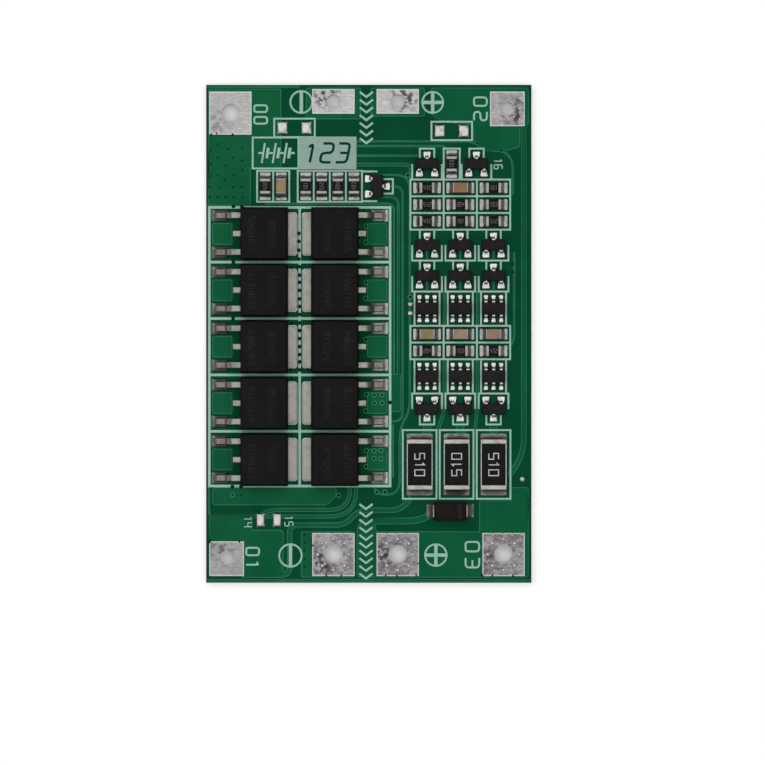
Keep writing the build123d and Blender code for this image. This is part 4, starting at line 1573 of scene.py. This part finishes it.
class Joint(Enum):
    """What stands on a land."""

    POWER_LEG = "power leg"
    POWER_TAB = "power tab"
    CHIP = "chip"
    BIG_CHIP = "big chip"
    SMALL_LEAD = "small lead"
    BARE = "bare"


@dataclass
class SolderJoints:
    """The solder on every land, drawn up by what stands on it."""

    film: float = 0.05
    swell: float = 0.035
    ripple: float = 0.012
    narrow: float = 0.42
    clearance: float = 0.12
    bare_rise: float = 0.008
    large_land: float = 1.45
    bead: float = 0.13
    bead_inset: Point2 = (0.17, 0.2)

    LOOKS = {Joint.POWER_LEG: ("power_leg_solder", Finishes.LEG_SOLDER),
             Joint.POWER_TAB: ("power_tab_solder", Finishes.SOLDER),
             Joint.CHIP: ("chip_solder", Finishes.CHIP_SOLDER),
             Joint.BIG_CHIP: ("big_chip_solder", Finishes.DULL_SOLDER),
             Joint.SMALL_LEAD: ("small_lead_solder", Finishes.FOOT_SOLDER),
             Joint.BARE: ("bare_land_solder", Finishes.BARE_SOLDER)}
    # How far the solder climbs, and how far from the metal that ends. A chip's height sets its climb.
    CLIMBS = {Joint.POWER_LEG: (0.34, 0.26), Joint.CHIP: (0.3, 0.2), Joint.BIG_CHIP: (0.3, 0.3),
              Joint.SMALL_LEAD: (0.1, 0.13), Joint.BARE: (0.0, 0.1)}

    def feet(self) -> List[Tuple[Box, Joint]]:
        """What stands on the lands, as boxes of feet and ends."""
        found = []
        for number in range(1, 2 * PowerTransistors.rows + 1):
            for box in solid_boxes(f"leadframe_{number}"):
                if box[1].y - box[0].y > 3:
                    found.append((box, Joint.POWER_TAB))
                elif box[1].x - box[0].x > 1.5:
                    found.append((box, Joint.POWER_LEG))
        for node in ("small_transistor_leads", "protection_chip_leads"):
            found += [(box, Joint.SMALL_LEAD) for box in solid_boxes(node)]
        found += [(box, Joint.CHIP) for box in solid_boxes("chip_ends") + solid_boxes("diode_leads")]
        return found

    def build(self) -> None:
        """Builds the solder of all the lands."""
        feet = self.feet()
        sketches = {joint: Sketch() for joint in Joint}
        openings_and_shade = Sketch()
        for land in solid_boxes("solder_lands"):
            low, high = land
            middle = middle_of(land)
            over = [(box, joint) for box, joint in feet
                    if box[0].x < high.x and box[1].x > low.x and box[0].y < high.y and box[1].y > low.y]
            foot, joint = min(over, key=lambda pair: (middle_of(pair[0]) - middle).length,
                              default=(None, Joint.BARE))
            if joint is Joint.POWER_TAB:
                continue
            if joint is Joint.CHIP and max(high.x - low.x, high.y - low.y) > self.large_land:
                joint = Joint.BIG_CHIP
                sketches[Joint.CHIP].add_all(self.corner_beads(land, foot))
            # Round small lands, bare laminate made near black as painted shade.
            if joint in (Joint.SMALL_LEAD, Joint.CHIP):
                openings_and_shade.add(self.opening_and_shade(land))
            # Legs left of the spine take the painted-shade copy of the leg solder.
            left = joint is Joint.POWER_LEG and high.x < PowerTransistors.spine
            sketches[joint].add(self.solder(land, foot, joint), int(left))
        for box, joint in feet:
            if joint is Joint.POWER_TAB:
                sketches[joint].add(self.tab_fillet(box))
        for joint, sketch in sketches.items():
            name, finish = self.LOOKS[joint]
            made = sketch.piece(name, [finish, Finishes.SHADED_LEFT_SOLDER][:1 + max(sketch.marks)], 60.0)
            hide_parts("solder_lands")
        openings_and_shade.piece("mask_openings", [Finishes.BARE_LAMINATE_AND_SHADE])

    def solder(self, land: Box, foot: Optional[Box], joint: Joint) -> Shape:
        """The solder on one land.

        Args:
            land: the land's box.
            foot: the box of what stands on it.
            joint: what that is.

        Returns:
            The shape.
        """
        low, high = land
        cells, squareness, taper = 14, 12.0, (0.0, 0.0)
        if joint is Joint.SMALL_LEAD:
            cells, squareness, taper = 8, 7.0, self.taper(land, foot)
        return patch((low.x, low.y), (high.x, high.y), LAMINATE_TOP, self.height(land, foot, joint), cells,
                     squareness, taper)

    def opening_and_shade(self, land: Box) -> Shape:
        """The bare laminate that the mask leaves open round one land, near black as painted shade.

        Args:
            land: the land's box.

        Returns:
            The shape, a thin plate that the land stands on.
        """
        low, high = land
        return patch((low.x - self.clearance, low.y - self.clearance),
                     (high.x + self.clearance, high.y + self.clearance), LAMINATE_TOP - self.bare_rise,
                     lambda x, y: LAMINATE_TOP + self.bare_rise, 6)

    def corner_beads(self, land: Box, foot: Box) -> List[Shape]:
        """The two small beads at the outer corners of a large land.

        Args:
            land: the land's box.
            foot: the box of what stands on it.

        Returns:
            The shapes.
        """
        low, high = land
        middle, half = middle_of(land), (high - low) / 2
        away = middle - middle_of(foot)
        outer, inner = self.bead_inset
        level = LAMINATE_TOP + self.film
        found = []
        for side in (-1, 1):
            if abs(away.x) > abs(away.y):
                x = high.x - outer if away.x > 0 else low.x + outer
                y = middle.y + side * (half.y - inner)
            else:
                x = middle.x + side * (half.x - inner)
                y = high.y - outer if away.y > 0 else low.y + outer
            found.append(dome(x, y, self.bead, level, level + 0.11))
        return found

    def taper(self, land: Box, foot: Box) -> Point2:
        """How a small land narrows towards its package, told by where the foot comes from.

        Args:
            land: the land's box.
            foot: the foot's box.

        Returns:
            The taper along X and along Y.
        """
        away = middle_of(foot) - middle_of(land)
        size = foot[1] - foot[0]
        if size.x > size.y:
            return math.copysign(self.narrow, away.x), 0.0
        return 0.0, math.copysign(self.narrow, away.y)

    def tab_fillet(self, box: Box) -> Shape:
        """The thin solder that shows round a drain tab.

        Args:
            box: the tab's box.

        Returns:
            The shape.
        """
        middle, half = middle_of(box), (box[1] - box[0]) / 2
        towards = 1.0 if middle.x < PowerTransistors.spine else -1.0
        rings = []
        for z, out in ((LAMINATE_TOP, 0.12), (LAMINATE_TOP + 0.03, 0.1), (TIN_TOP - 0.03, 0.05),
                       (TIN_TOP - 0.003, 0.0)):
            outline = tab_outline(-half.x, half.x + out, half.y + out, PowerTransistors.tab_cut)
            rings.append([(middle.x + towards * x, middle.y + y, z) for x, y in outline])
        return loft(rings)

    def height(self, land: Box, foot: Optional[Box], joint: Joint) -> Callable[[float, float], float]:
        """The solder's surface on one land.

        Args:
            land: the land's box.
            foot: the box of what stands on it.
            joint: what that is.

        Returns:
            A function that gives the level at a place.
        """
        low, high = land
        phase = low.x * 1.7 + low.y * 2.3
        middle, half = middle_of(land), (high - low) / 2
        rise, reach = self.CLIMBS[joint]
        if joint in (Joint.CHIP, Joint.BIG_CHIP):
            rise = min(0.5, 0.6 * (foot[1].z - foot[0].z))

        def level(x: float, y: float) -> float:
            """The solder's level at a place.

            Args:
                x: the place along X.
                y: the place along Y.

            Returns:
                The level.
            """
            u, v = (x - middle.x) / half.x, (y - middle.y) / half.y
            swell = max(0.0, (1 - u * u)) ** 0.5 * max(0.0, (1 - v * v)) ** 0.5
            ripple = self.ripple * math.sin(5.1 * x + phase) * math.sin(4.3 * y - phase)
            base = LAMINATE_TOP + self.film + (self.swell + ripple) * swell
            if foot is None:
                return base + (0.16 + 3 * ripple) * swell
            away = math.hypot(max(foot[0].x - x, x - foot[1].x, 0.0), max(foot[0].y - y, y - foot[1].y, 0.0))
            if away == 0.0:
                return TIN_TOP - 0.004
            climb = (rise + 3 * ripple) * math.exp(-(away / reach) ** 1.2)
            edge = min(1.0, 4 * (1 - max(abs(u), abs(v))))
            return base + climb * max(0.15, edge)

        return level


def tab_outline(start: float, tip: float, half: float, cut: Point2, steps: int = 4) -> List[Point2]:
    """The outline of a drain tab along +X, with its two outer corners rounded off.

    Args:
        start: where the tab starts.
        tip: where it ends.
        half: half its width.
        cut: how far each corner's curve reaches along X and along Y.
        steps: cells in each curve.

    Returns:
        The outline, from the start's low corner round to its high one.
    """
    curve = []
    for k in range(steps + 1):
        angle = math.pi / 2 * k / steps
        curve.append((tip - cut[0] * (1 - math.sin(angle)), cut[1] * (1 - math.cos(angle)) - half))
    return [(start, -half)] + curve + [(x, -y) for x, y in reversed(curve)] + [(start, half)]


@dataclass
class PowerTransistors:
    """Ten power transistors: moulded bodies with laser marks, and bent leadframes."""

    rows: int = 5
    length: float = 6.0
    width: float = 6.6
    height: float = 2.3
    parting: float = 0.9
    thickness: float = 0.5
    leg_width: float = 0.75
    leg_spread: float = 4.57
    leg_reach: float = 2.95
    shoulder: float = 0.9
    foot: float = 1.35
    stub_reach: float = 0.85
    tab_width: float = 5.2
    tab_reach: float = 1.05
    tab_cut: Point2 = (0.4, 0.55)
    spine: float = -8.6
    mark_room: float = 0.006

    def body(self) -> Shape:
        """The moulded body about its own middle, with draft and softened edges."""
        top, line = self.height - self.mark_room, self.parting
        cuts = [(0.0, 0.05, 0.2), (0.04, 0.0, 0.2), (line - 0.015, 0.0, 0.18), (line, 0.0, 0.18),
                (line + 0.015, 0.0, 0.18), (top - 0.15, 0.0, 0.2), (top - 0.06, 0.07, 0.22),
                (top, 0.26, 0.3)]
        return moulded(self.length, self.width, line, cuts, 5)

    def leg(self) -> Shape:
        """One long leg along +X from the body's side."""
        mid = self.thickness / 2
        run = [(-0.4, self.parting + mid), (self.shoulder + 0.12, self.parting + mid),
               (self.leg_reach - self.foot + 0.12, mid), (self.leg_reach - 0.005, mid)]
        return swept_strip(eased(run, 0.34, 5), self.leg_width, self.thickness, 0.05)

    def stub(self) -> Shape:
        """The cut-off middle leg along +X from the body's side."""
        mid = self.parting + self.thickness / 2
        run = [(-0.4, mid), (self.stub_reach - 0.03, mid), (self.stub_reach, mid)]
        return swept_strip(run, self.leg_width, self.thickness, 0.06)

    def tab(self) -> Shape:
        """The drain tab beyond the body, with rolled edges."""
        tip = self.length / 2 + self.tab_reach
        half = self.tab_width / 2
        start = self.length / 2 - 1.0
        rings = []
        for z, cut in ((0.0, 0.05), (0.06, 0.0), (self.thickness - 0.1, 0.0), (self.thickness - 0.03, 0.03),
                       (self.thickness, 0.1)):
            rings.append([(x, y, z) for x, y in tab_outline(start, tip - cut, half - cut, self.tab_cut)])
        return loft(rings)

    def build(self) -> None:
        """Builds all ten."""
        marks = Sketch()
        dice = random.Random(7)
        for number in range(1, 2 * self.rows + 1):
            low, high = node_box(f"power_transistor_{number}")
            turn = 0.0 if number <= self.rows else 180.0
            spot = Spot((low.x + high.x) / 2, (low.y + high.y) / 2, low.z, turn)
            body = Sketch(spot.put(self.body()))
            made = body.piece(f"power_body_{number}", [Finishes.EPOXY], 40.0)
            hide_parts(f"power_transistor_{number}")

            metal = Sketch()
            metal.add(spot.put(self.tab()), 1)
            for y, shape in ((-self.leg_spread / 2, self.leg()), (self.leg_spread / 2, self.leg()),
                             (0, self.stub())):
                metal.add(spot.put(Spot(-self.length / 2, y, 0, 180).put(shape)))
            made = metal.piece(f"power_leads_{number}", [Finishes.LEAD, Finishes.TAB], 40.0)
            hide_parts(f"leadframe_{number}")
            self.mark(marks, spot, dice)
        marks.piece("laser_marks", [Finishes.LASER])

    def mark(self, sketch: Sketch, spot: Spot, dice: random.Random) -> None:
        """Adds the faint laser marks of one body: two columns of plain digits.

        Args:
            sketch: where they are added.
            spot: the body's place.
            dice: draws the digits.
        """
        for x, count in ((-1.55, 8), (1.0, 7)):
            text = "".join(dice.choice("0123456789") for _ in range(count))
            across = x if spot.turn == 0 else -x
            place = Spot(spot.x + across, spot.y - 0.1, spot.z + self.height - 0.01, -90)
            sketch.add_all(Digits.write(text, place, (0.36, 0.78), 0.56, 0.09, 0.007, soft=0.3))


class Package(Enum):
    """A small moulded package: its nodes' name and number, its depth, and each lead's place and side."""

    THREE_LEG = ("small_transistor", 12, 1.3, ((0.0, 1), (-0.95, -1), (0.95, -1)))
    SIX_LEG = ("protection_chip", 6, 1.6,
               ((-0.95, 1), (0.0, 1), (0.95, 1), (-0.95, -1), (0.0, -1), (0.95, -1)))


@dataclass
class SmallPackages:
    """The twelve small transistors and the six protection chips."""

    length: float = 2.9
    standoff: float = 0.08
    parting: float = 0.45
    height: float = 1.0
    corner: float = 0.09
    lead_width: float = 0.38
    lead_thickness: float = 0.13
    reach: float = 0.58
    foot: float = 0.27

    def body(self, depth: float) -> Shape:
        """A drafted body about its own middle.

        Args:
            depth: its width between the two rows of leads.

        Returns:
            The shape.
        """
        foot, line, top = self.standoff, self.parting, self.height
        cuts = [(foot, 0.03), (foot + 0.03, 0.0), (line - 0.01, 0.0), (line, 0.0), (line + 0.01, 0.0),
                (top - 0.06, 0.0), (top - 0.02, 0.03), (top, 0.1)]
        return moulded(self.length, depth, line, [(z, cut, self.corner) for z, cut in cuts], 3)

    def lead(self) -> Shape:
        """A gull-wing lead along +X from the body's side."""
        mid = self.lead_thickness / 2
        bend = self.reach - self.foot
        run = [(-0.08, self.parting + mid), (0.12, self.parting + mid), (bend + 0.05, mid),
               (self.reach - 0.003, mid)]
        return swept_strip(eased(run, 0.08, 4), self.lead_width, self.lead_thickness, 0.02)

    def build(self) -> None:
        """Builds every small package."""
        for package in Package:
            name, count, depth, leads = package.value
            metal = Sketch()
            for number in range(1, count + 1):
                box = node_box(f"{name}_{number}")
                middle = middle_of(box)
                spot = Spot(middle.x, middle.y, box[0].z - self.standoff, self.turn_of(package, box))
                body = Sketch(spot.put(self.body(depth)))
                made = body.piece(f"{name}_body_{number}", [Finishes.SMALL_EPOXY], 40.0)
                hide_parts(f"{name}_{number}")
                for x, side in leads:
                    metal.add(spot.put(Spot(x, side * depth / 2, 0, 90 * side).put(self.lead())))
            made = metal.piece(f"{name}_lead_set", [Finishes.SMALL_LEAD], 40.0)
            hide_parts(f"{name}_leads")

    def turn_of(self, package: Package, box: Box) -> float:
        """How far a package is turned, told by where a small transistor's single lead comes out.

        Args:
            package: which package.
            box: its body's box.

        Returns:
            The turn in degrees.
        """
        size, middle = box[1] - box[0], middle_of(box)
        if package is Package.SIX_LEG:
            return 0.0
        if size.y > size.x:
            return -90.0
        places = [middle_of(lead) - middle for lead in solid_boxes("small_transistor_leads")]
        return 0.0 if any(abs(place.x) < 0.3 and 0 < place.y < 2 for place in places) else 180.0


@dataclass
class Chips:
    """The chip resistors and capacitors, with their wrapped ends and printed codes."""

    trim: float = 0.2

    CODES = ("103", "472", "101", "512", "204")
    # The capacitors' colours, in the order of their solids.
    TINTS = (lit(134, 112, 80), lit(124, 91, 62), lit(126, 109, 74), lit(137, 117, 93), lit(130, 106, 89))

    def chip_end(self, box: Box, along_x: bool, outward: float) -> Shape:
        """One wrapped end with its rolled edges, inside its own box.

        Args:
            box: the end's box.
            along_x: the chip lies along X.
            outward: over or under nought, as the side that faces away from the chip.

        Returns:
            The shape.
        """
        middle, size = middle_of(box), box[1] - box[0]
        long, wide = (size.x, size.y) if along_x else (size.y, size.x)
        roll = min(0.13, size.z * 0.24)
        rings = []
        for t, cut in ((-0.5, 0.03), (-0.47, 0.01), (-0.3, 0.0), (0.5 - roll / long, 0.0),
                       (0.5 - 0.62 * roll / long, roll * 0.08), (0.5 - 0.3 * roll / long, roll * 0.3),
                       (0.5 - 0.08 * roll / long, roll * 0.62), (0.5, roll)):
            half_y, half_z = wide / 2 - cut, size.z / 2 - cut
            loop = rounded_rectangle(2 * half_y, 2 * half_z, max(0.03, roll * 0.6 - cut * 0.3), 3)
            rings.append([(t * long, y, z) for y, z in loop])
        turn = (0 if outward > 0 else 180) if along_x else (90 if outward > 0 else -90)
        return Spot(middle.x, middle.y, middle.z, turn).put(loft(rings))

    def build(self) -> None:
        """Builds the bodies, the ends and the codes."""
        ends = Sketch()
        bodies = {"resistor": solid_boxes("chip_resistors"), "capacitor": solid_boxes("chip_capacitors")}
        every = [b for group in bodies.values() for b in group]
        every += [node_box(f"bleed_resistor_{n}") for n in (1, 2, 3)]
        for box in solid_boxes("chip_ends"):
            middle = middle_of(box)
            own = min(every, key=lambda b: (middle_of(b) - middle).length)
            away = middle - middle_of(own)
            along_x = abs(away.x) > abs(away.y)
            if any(own is capacitor for capacitor in bodies["capacitor"]):
                box = self.trimmed(box, away)
            large = max(box[1] - box[0]) > 2
            ends.add(self.chip_end(box, along_x, away.x if along_x else away.y), int(large))
        made = ends.piece("wrapped_ends", [Finishes.CHIP_END, Finishes.LARGE_END], 50.0)
        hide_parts("chip_ends")
        self.build_resistors(bodies["resistor"])
        self.build_capacitors(bodies["capacitor"])

    def trimmed(self, box: Box, away: Vector) -> Box:
        """A capacitor end's box with the strip that its ceramic covers taken off its inner side.

        Args:
            box: the end's box.
            away: from the ceramic's middle to the end's.

        Returns:
            The shorter box.
        """
        low, high = box[0].copy(), box[1].copy()
        axis = 0 if abs(away.x) > abs(away.y) else 1
        if away[axis] > 0:
            low[axis] += self.trim
        else:
            high[axis] -= self.trim
        return low, high

    def build_resistors(self, boxes: Sequence[Box]) -> None:
        """Builds the resistors: a white ceramic slab under black glaze, with a small code.

        Args:
            boxes: the boxes of their bodies.
        """
        sketch, codes = Sketch(), Sketch()
        for number, (low, high) in enumerate(boxes):
            middle, size = middle_of((low, high)), high - low
            spot = Spot(middle.x, middle.y, low.z)
            slab = [(0, size.x, size.y - 0.04, 0.01), (size.z - 0.05, size.x, size.y - 0.04, 0.01)]
            glaze = [(size.z - 0.06, size.x, size.y, 0.02), (size.z - 0.02, size.x, size.y, 0.02),
                     (size.z, size.x - 0.04, size.y - 0.06, 0.04)]
            sketch.add(spot.put(levels(slab, 1)), 1)
            sketch.add(spot.put(levels(glaze, 2)))
            place = Spot(middle.x, middle.y, high.z - 0.004, 90 if size.y < size.x else 0)
            codes.add_all(Digits.write(self.CODES[number % len(self.CODES)], place, (0.2, 0.5), 0.32, 0.07,
                                       0.007))
        made = sketch.piece("resistor_bodies", [Finishes.GLAZE, Finishes.ALUMINA], 40.0)
        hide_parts("chip_resistors")
        codes.piece("resistor_codes", [Finishes.FAINT_CODE])

    def build_capacitors(self, boxes: Sequence[Box]) -> None:
        """Builds the capacitors, each fired to its own shade.

        Args:
            boxes: the boxes of their bodies.
        """
        sketch = Sketch()
        finishes = [CeramicFinish(f"capacitor_ceramic_{n}", "capacitor_ceramic", tint, 0.36)
                    for n, tint in enumerate(self.TINTS)]
        for number, (low, high) in enumerate(boxes):
            middle, size = middle_of((low, high)), high - low
            long, wide, turn = size.x, size.y, 0
            if size.x > size.y:
                long, wide, turn = size.y, size.x, 90
            long += 2 * self.trim
            outlines = [(0, long, wide - 0.06, 0.05), (0.03, long, wide, 0.06),
                        (size.z - 0.06, long, wide, 0.06), (size.z - 0.02, long, wide - 0.05, 0.06),
                        (size.z, long, wide - 0.16, 0.06)]
            sketch.add(Spot(middle.x, middle.y, low.z, turn).put(levels(outlines, 3)), number)
        made = sketch.piece("capacitor_bodies", finishes, 50.0)
        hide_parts("chip_capacitors")


@dataclass
class BleedResistors:
    """The three large chip resistors."""

    glaze: float = 2.98
    code: str = "510"

    def build(self) -> None:
        """Builds the bodies and their printed codes."""
        codes = Sketch()
        for number in (1, 2, 3):
            low, high = node_box(f"bleed_resistor_{number}")
            middle, size = middle_of((low, high)), high - low
            spot = Spot(middle.x, middle.y, low.z)
            slab = [(0, size.x, size.y, 0.02), (0.03, size.x, size.y, 0.02),
                    (size.z - 0.05, size.x, size.y, 0.02), (size.z - 0.03, size.x - 0.04, size.y, 0.02)]
            glaze = [(size.z - 0.05, self.glaze, size.y, 0.05), (size.z - 0.015, self.glaze, size.y, 0.05),
                     (size.z, self.glaze - 0.06, size.y - 0.06, 0.08)]
            body = Sketch()
            body.add(spot.put(levels(slab, 2)), 1)
            body.add(spot.put(levels(glaze, 3)))
            made = body.piece(f"bleed_body_{number}", [Finishes.GLAZE, Finishes.ALUMINA], 40.0)
            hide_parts(f"bleed_resistor_{number}")
            place = Spot(middle.x, middle.y, high.z - 0.004, 90 if number == 2 else -90)
            codes.add_all(Digits.write(self.code, place, (0.72, 1.2), 1.02, 0.16, 0.008))
        codes.piece("bleed_codes", [Finishes.CODE])


@dataclass
class Rectifier:
    """The rectifier diode with its folded leads and cathode band."""

    stand: float = 0.2
    lead_width: float = 1.5
    corner: float = 0.14
    band: Point2 = (1.15, 0.46)

    def build(self) -> None:
        """Builds the body, the band and the leads."""
        low, high = node_box("diode")
        middle, size = middle_of((low, high)), high - low
        line = (high.z - TIN_TOP - self.stand) / 2
        top = high.z - TIN_TOP
        cuts = [(self.stand, 0.06), (self.stand + 0.04, 0.0), (line, 0.0), (line + 0.02, 0.0),
                (top - 0.12, 0.0), (top - 0.04, 0.06), (top, 0.2)]
        shape = moulded(size.x, size.y, line, [(z, cut, self.corner) for z, cut in cuts], 4)
        body = Sketch(Spot(middle.x, middle.y, TIN_TOP).put(shape))
        made = body.piece("diode_body", [Finishes.DIODE_EPOXY], 40.0)
        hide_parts("diode")

        offset, long = self.band
        wide = size.y - 2 * DRAFT * (top - line) - 0.24
        outlines = [(0, long, wide, 0.05), (0.01, long - 0.02, wide - 0.02, 0.05)]
        band = Sketch(Spot(middle.x + offset, middle.y, high.z - 0.006).put(levels(outlines, 2)))
        band.piece("cathode_mark", [Finishes.CATHODE])

        metal = Sketch()
        half = self.stand / 2
        end = size.x / 2
        run = [(end - 0.3, line + half), (end + half - 0.005, line + half), (end + half - 0.005, half),
               (end - 1.1, half)]
        for turn in (0, 180):
            metal.add(Spot(middle.x, middle.y, TIN_TOP, turn).put(
                swept_strip(eased(run, 0.16, 4), self.lead_width, self.stand, 0.03)))
        made = metal.piece("diode_lead_set", [Finishes.DIODE_LEAD], 40.0)
        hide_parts("diode_leads")


@dataclass
class Studio:
    """The white floor, the soft lights and the camera."""

    eye: Point3 = (1.706, -6.065, 530.3)
    lens: float = 200.0
    sensor: float = 36.0
    clip: Point2 = (0.01, 20.0)
    half_sheet: float = 900.0
    sky: float = 0.16

    # Name, place, side and power of each light.
    LIGHTS = (("softbox", (-60, 60, 1200), 2000, 14.5), ("left_back", (-900, 700, 1000), 600, 1.6),
              ("right_front", (800, -700, 900), 600, 0.4))

    def build(self) -> None:
        """Builds the floor, the lights and the camera."""
        low, high = (-self.half_sheet,) * 2, (self.half_sheet,) * 2
        floor = Sketch(patch(low, high, -3.0, lambda x, y: -0.02, 16, 3.0))
        made = floor.piece("floor", [Finishes.FLOOR])
        scene = bpy.context.scene
        scene.view_settings.view_transform = "Standard"
        scene.world = bpy.data.worlds.new("studio")
        scene.world.use_nodes = True
        sky = scene.world.node_tree.nodes["Background"].inputs
        sky["Color"].default_value = (1.0, 1.0, 1.0, 1.0)
        sky["Strength"].default_value = self.sky
        for name, at, size, power in self.LIGHTS:
            self.light(name, at, size, power)
        camera = bpy.data.objects.new("camera", bpy.data.cameras.new("camera"))
        camera.data.lens = self.lens
        camera.data.sensor_width = self.sensor
        camera.data.clip_start, camera.data.clip_end = self.clip
        camera.location = [c * MM for c in self.eye]
        scene.collection.objects.link(camera)
        scene.camera = camera

    def light(self, name: str, at: Point3, size: float, power: float) -> None:
        """Adds a square soft light that faces the board.

        Args:
            name: its name.
            at: its place in millimetres.
            size: its side in millimetres.
            power: its power in watts.
        """
        lamp = bpy.data.lights.new(name, "AREA")
        lamp.size = size * MM
        lamp.energy = power
        made = bpy.data.objects.new(name, lamp)
        made.location = [c * MM for c in at]
        made.rotation_euler = (-Vector(at)).to_track_quat("-Z", "Y").to_euler()
        bpy.context.scene.collection.objects.link(made)


def main() -> None:
    """Builds the whole board and its studio."""
    logging.basicConfig(level=logging.INFO, format="%(message)s")
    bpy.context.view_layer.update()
    for assembly in (Legend(), Vias(), Terminals(), SolderJoints(), PowerTransistors(), SmallPackages(),
                     Chips(), BleedResistors(), Rectifier(), Studio()):
        LOG.info("building %s", type(assembly).__name__)
        assembly.build()
    Laminate().dress()


if __name__ == "__main__":
    main()
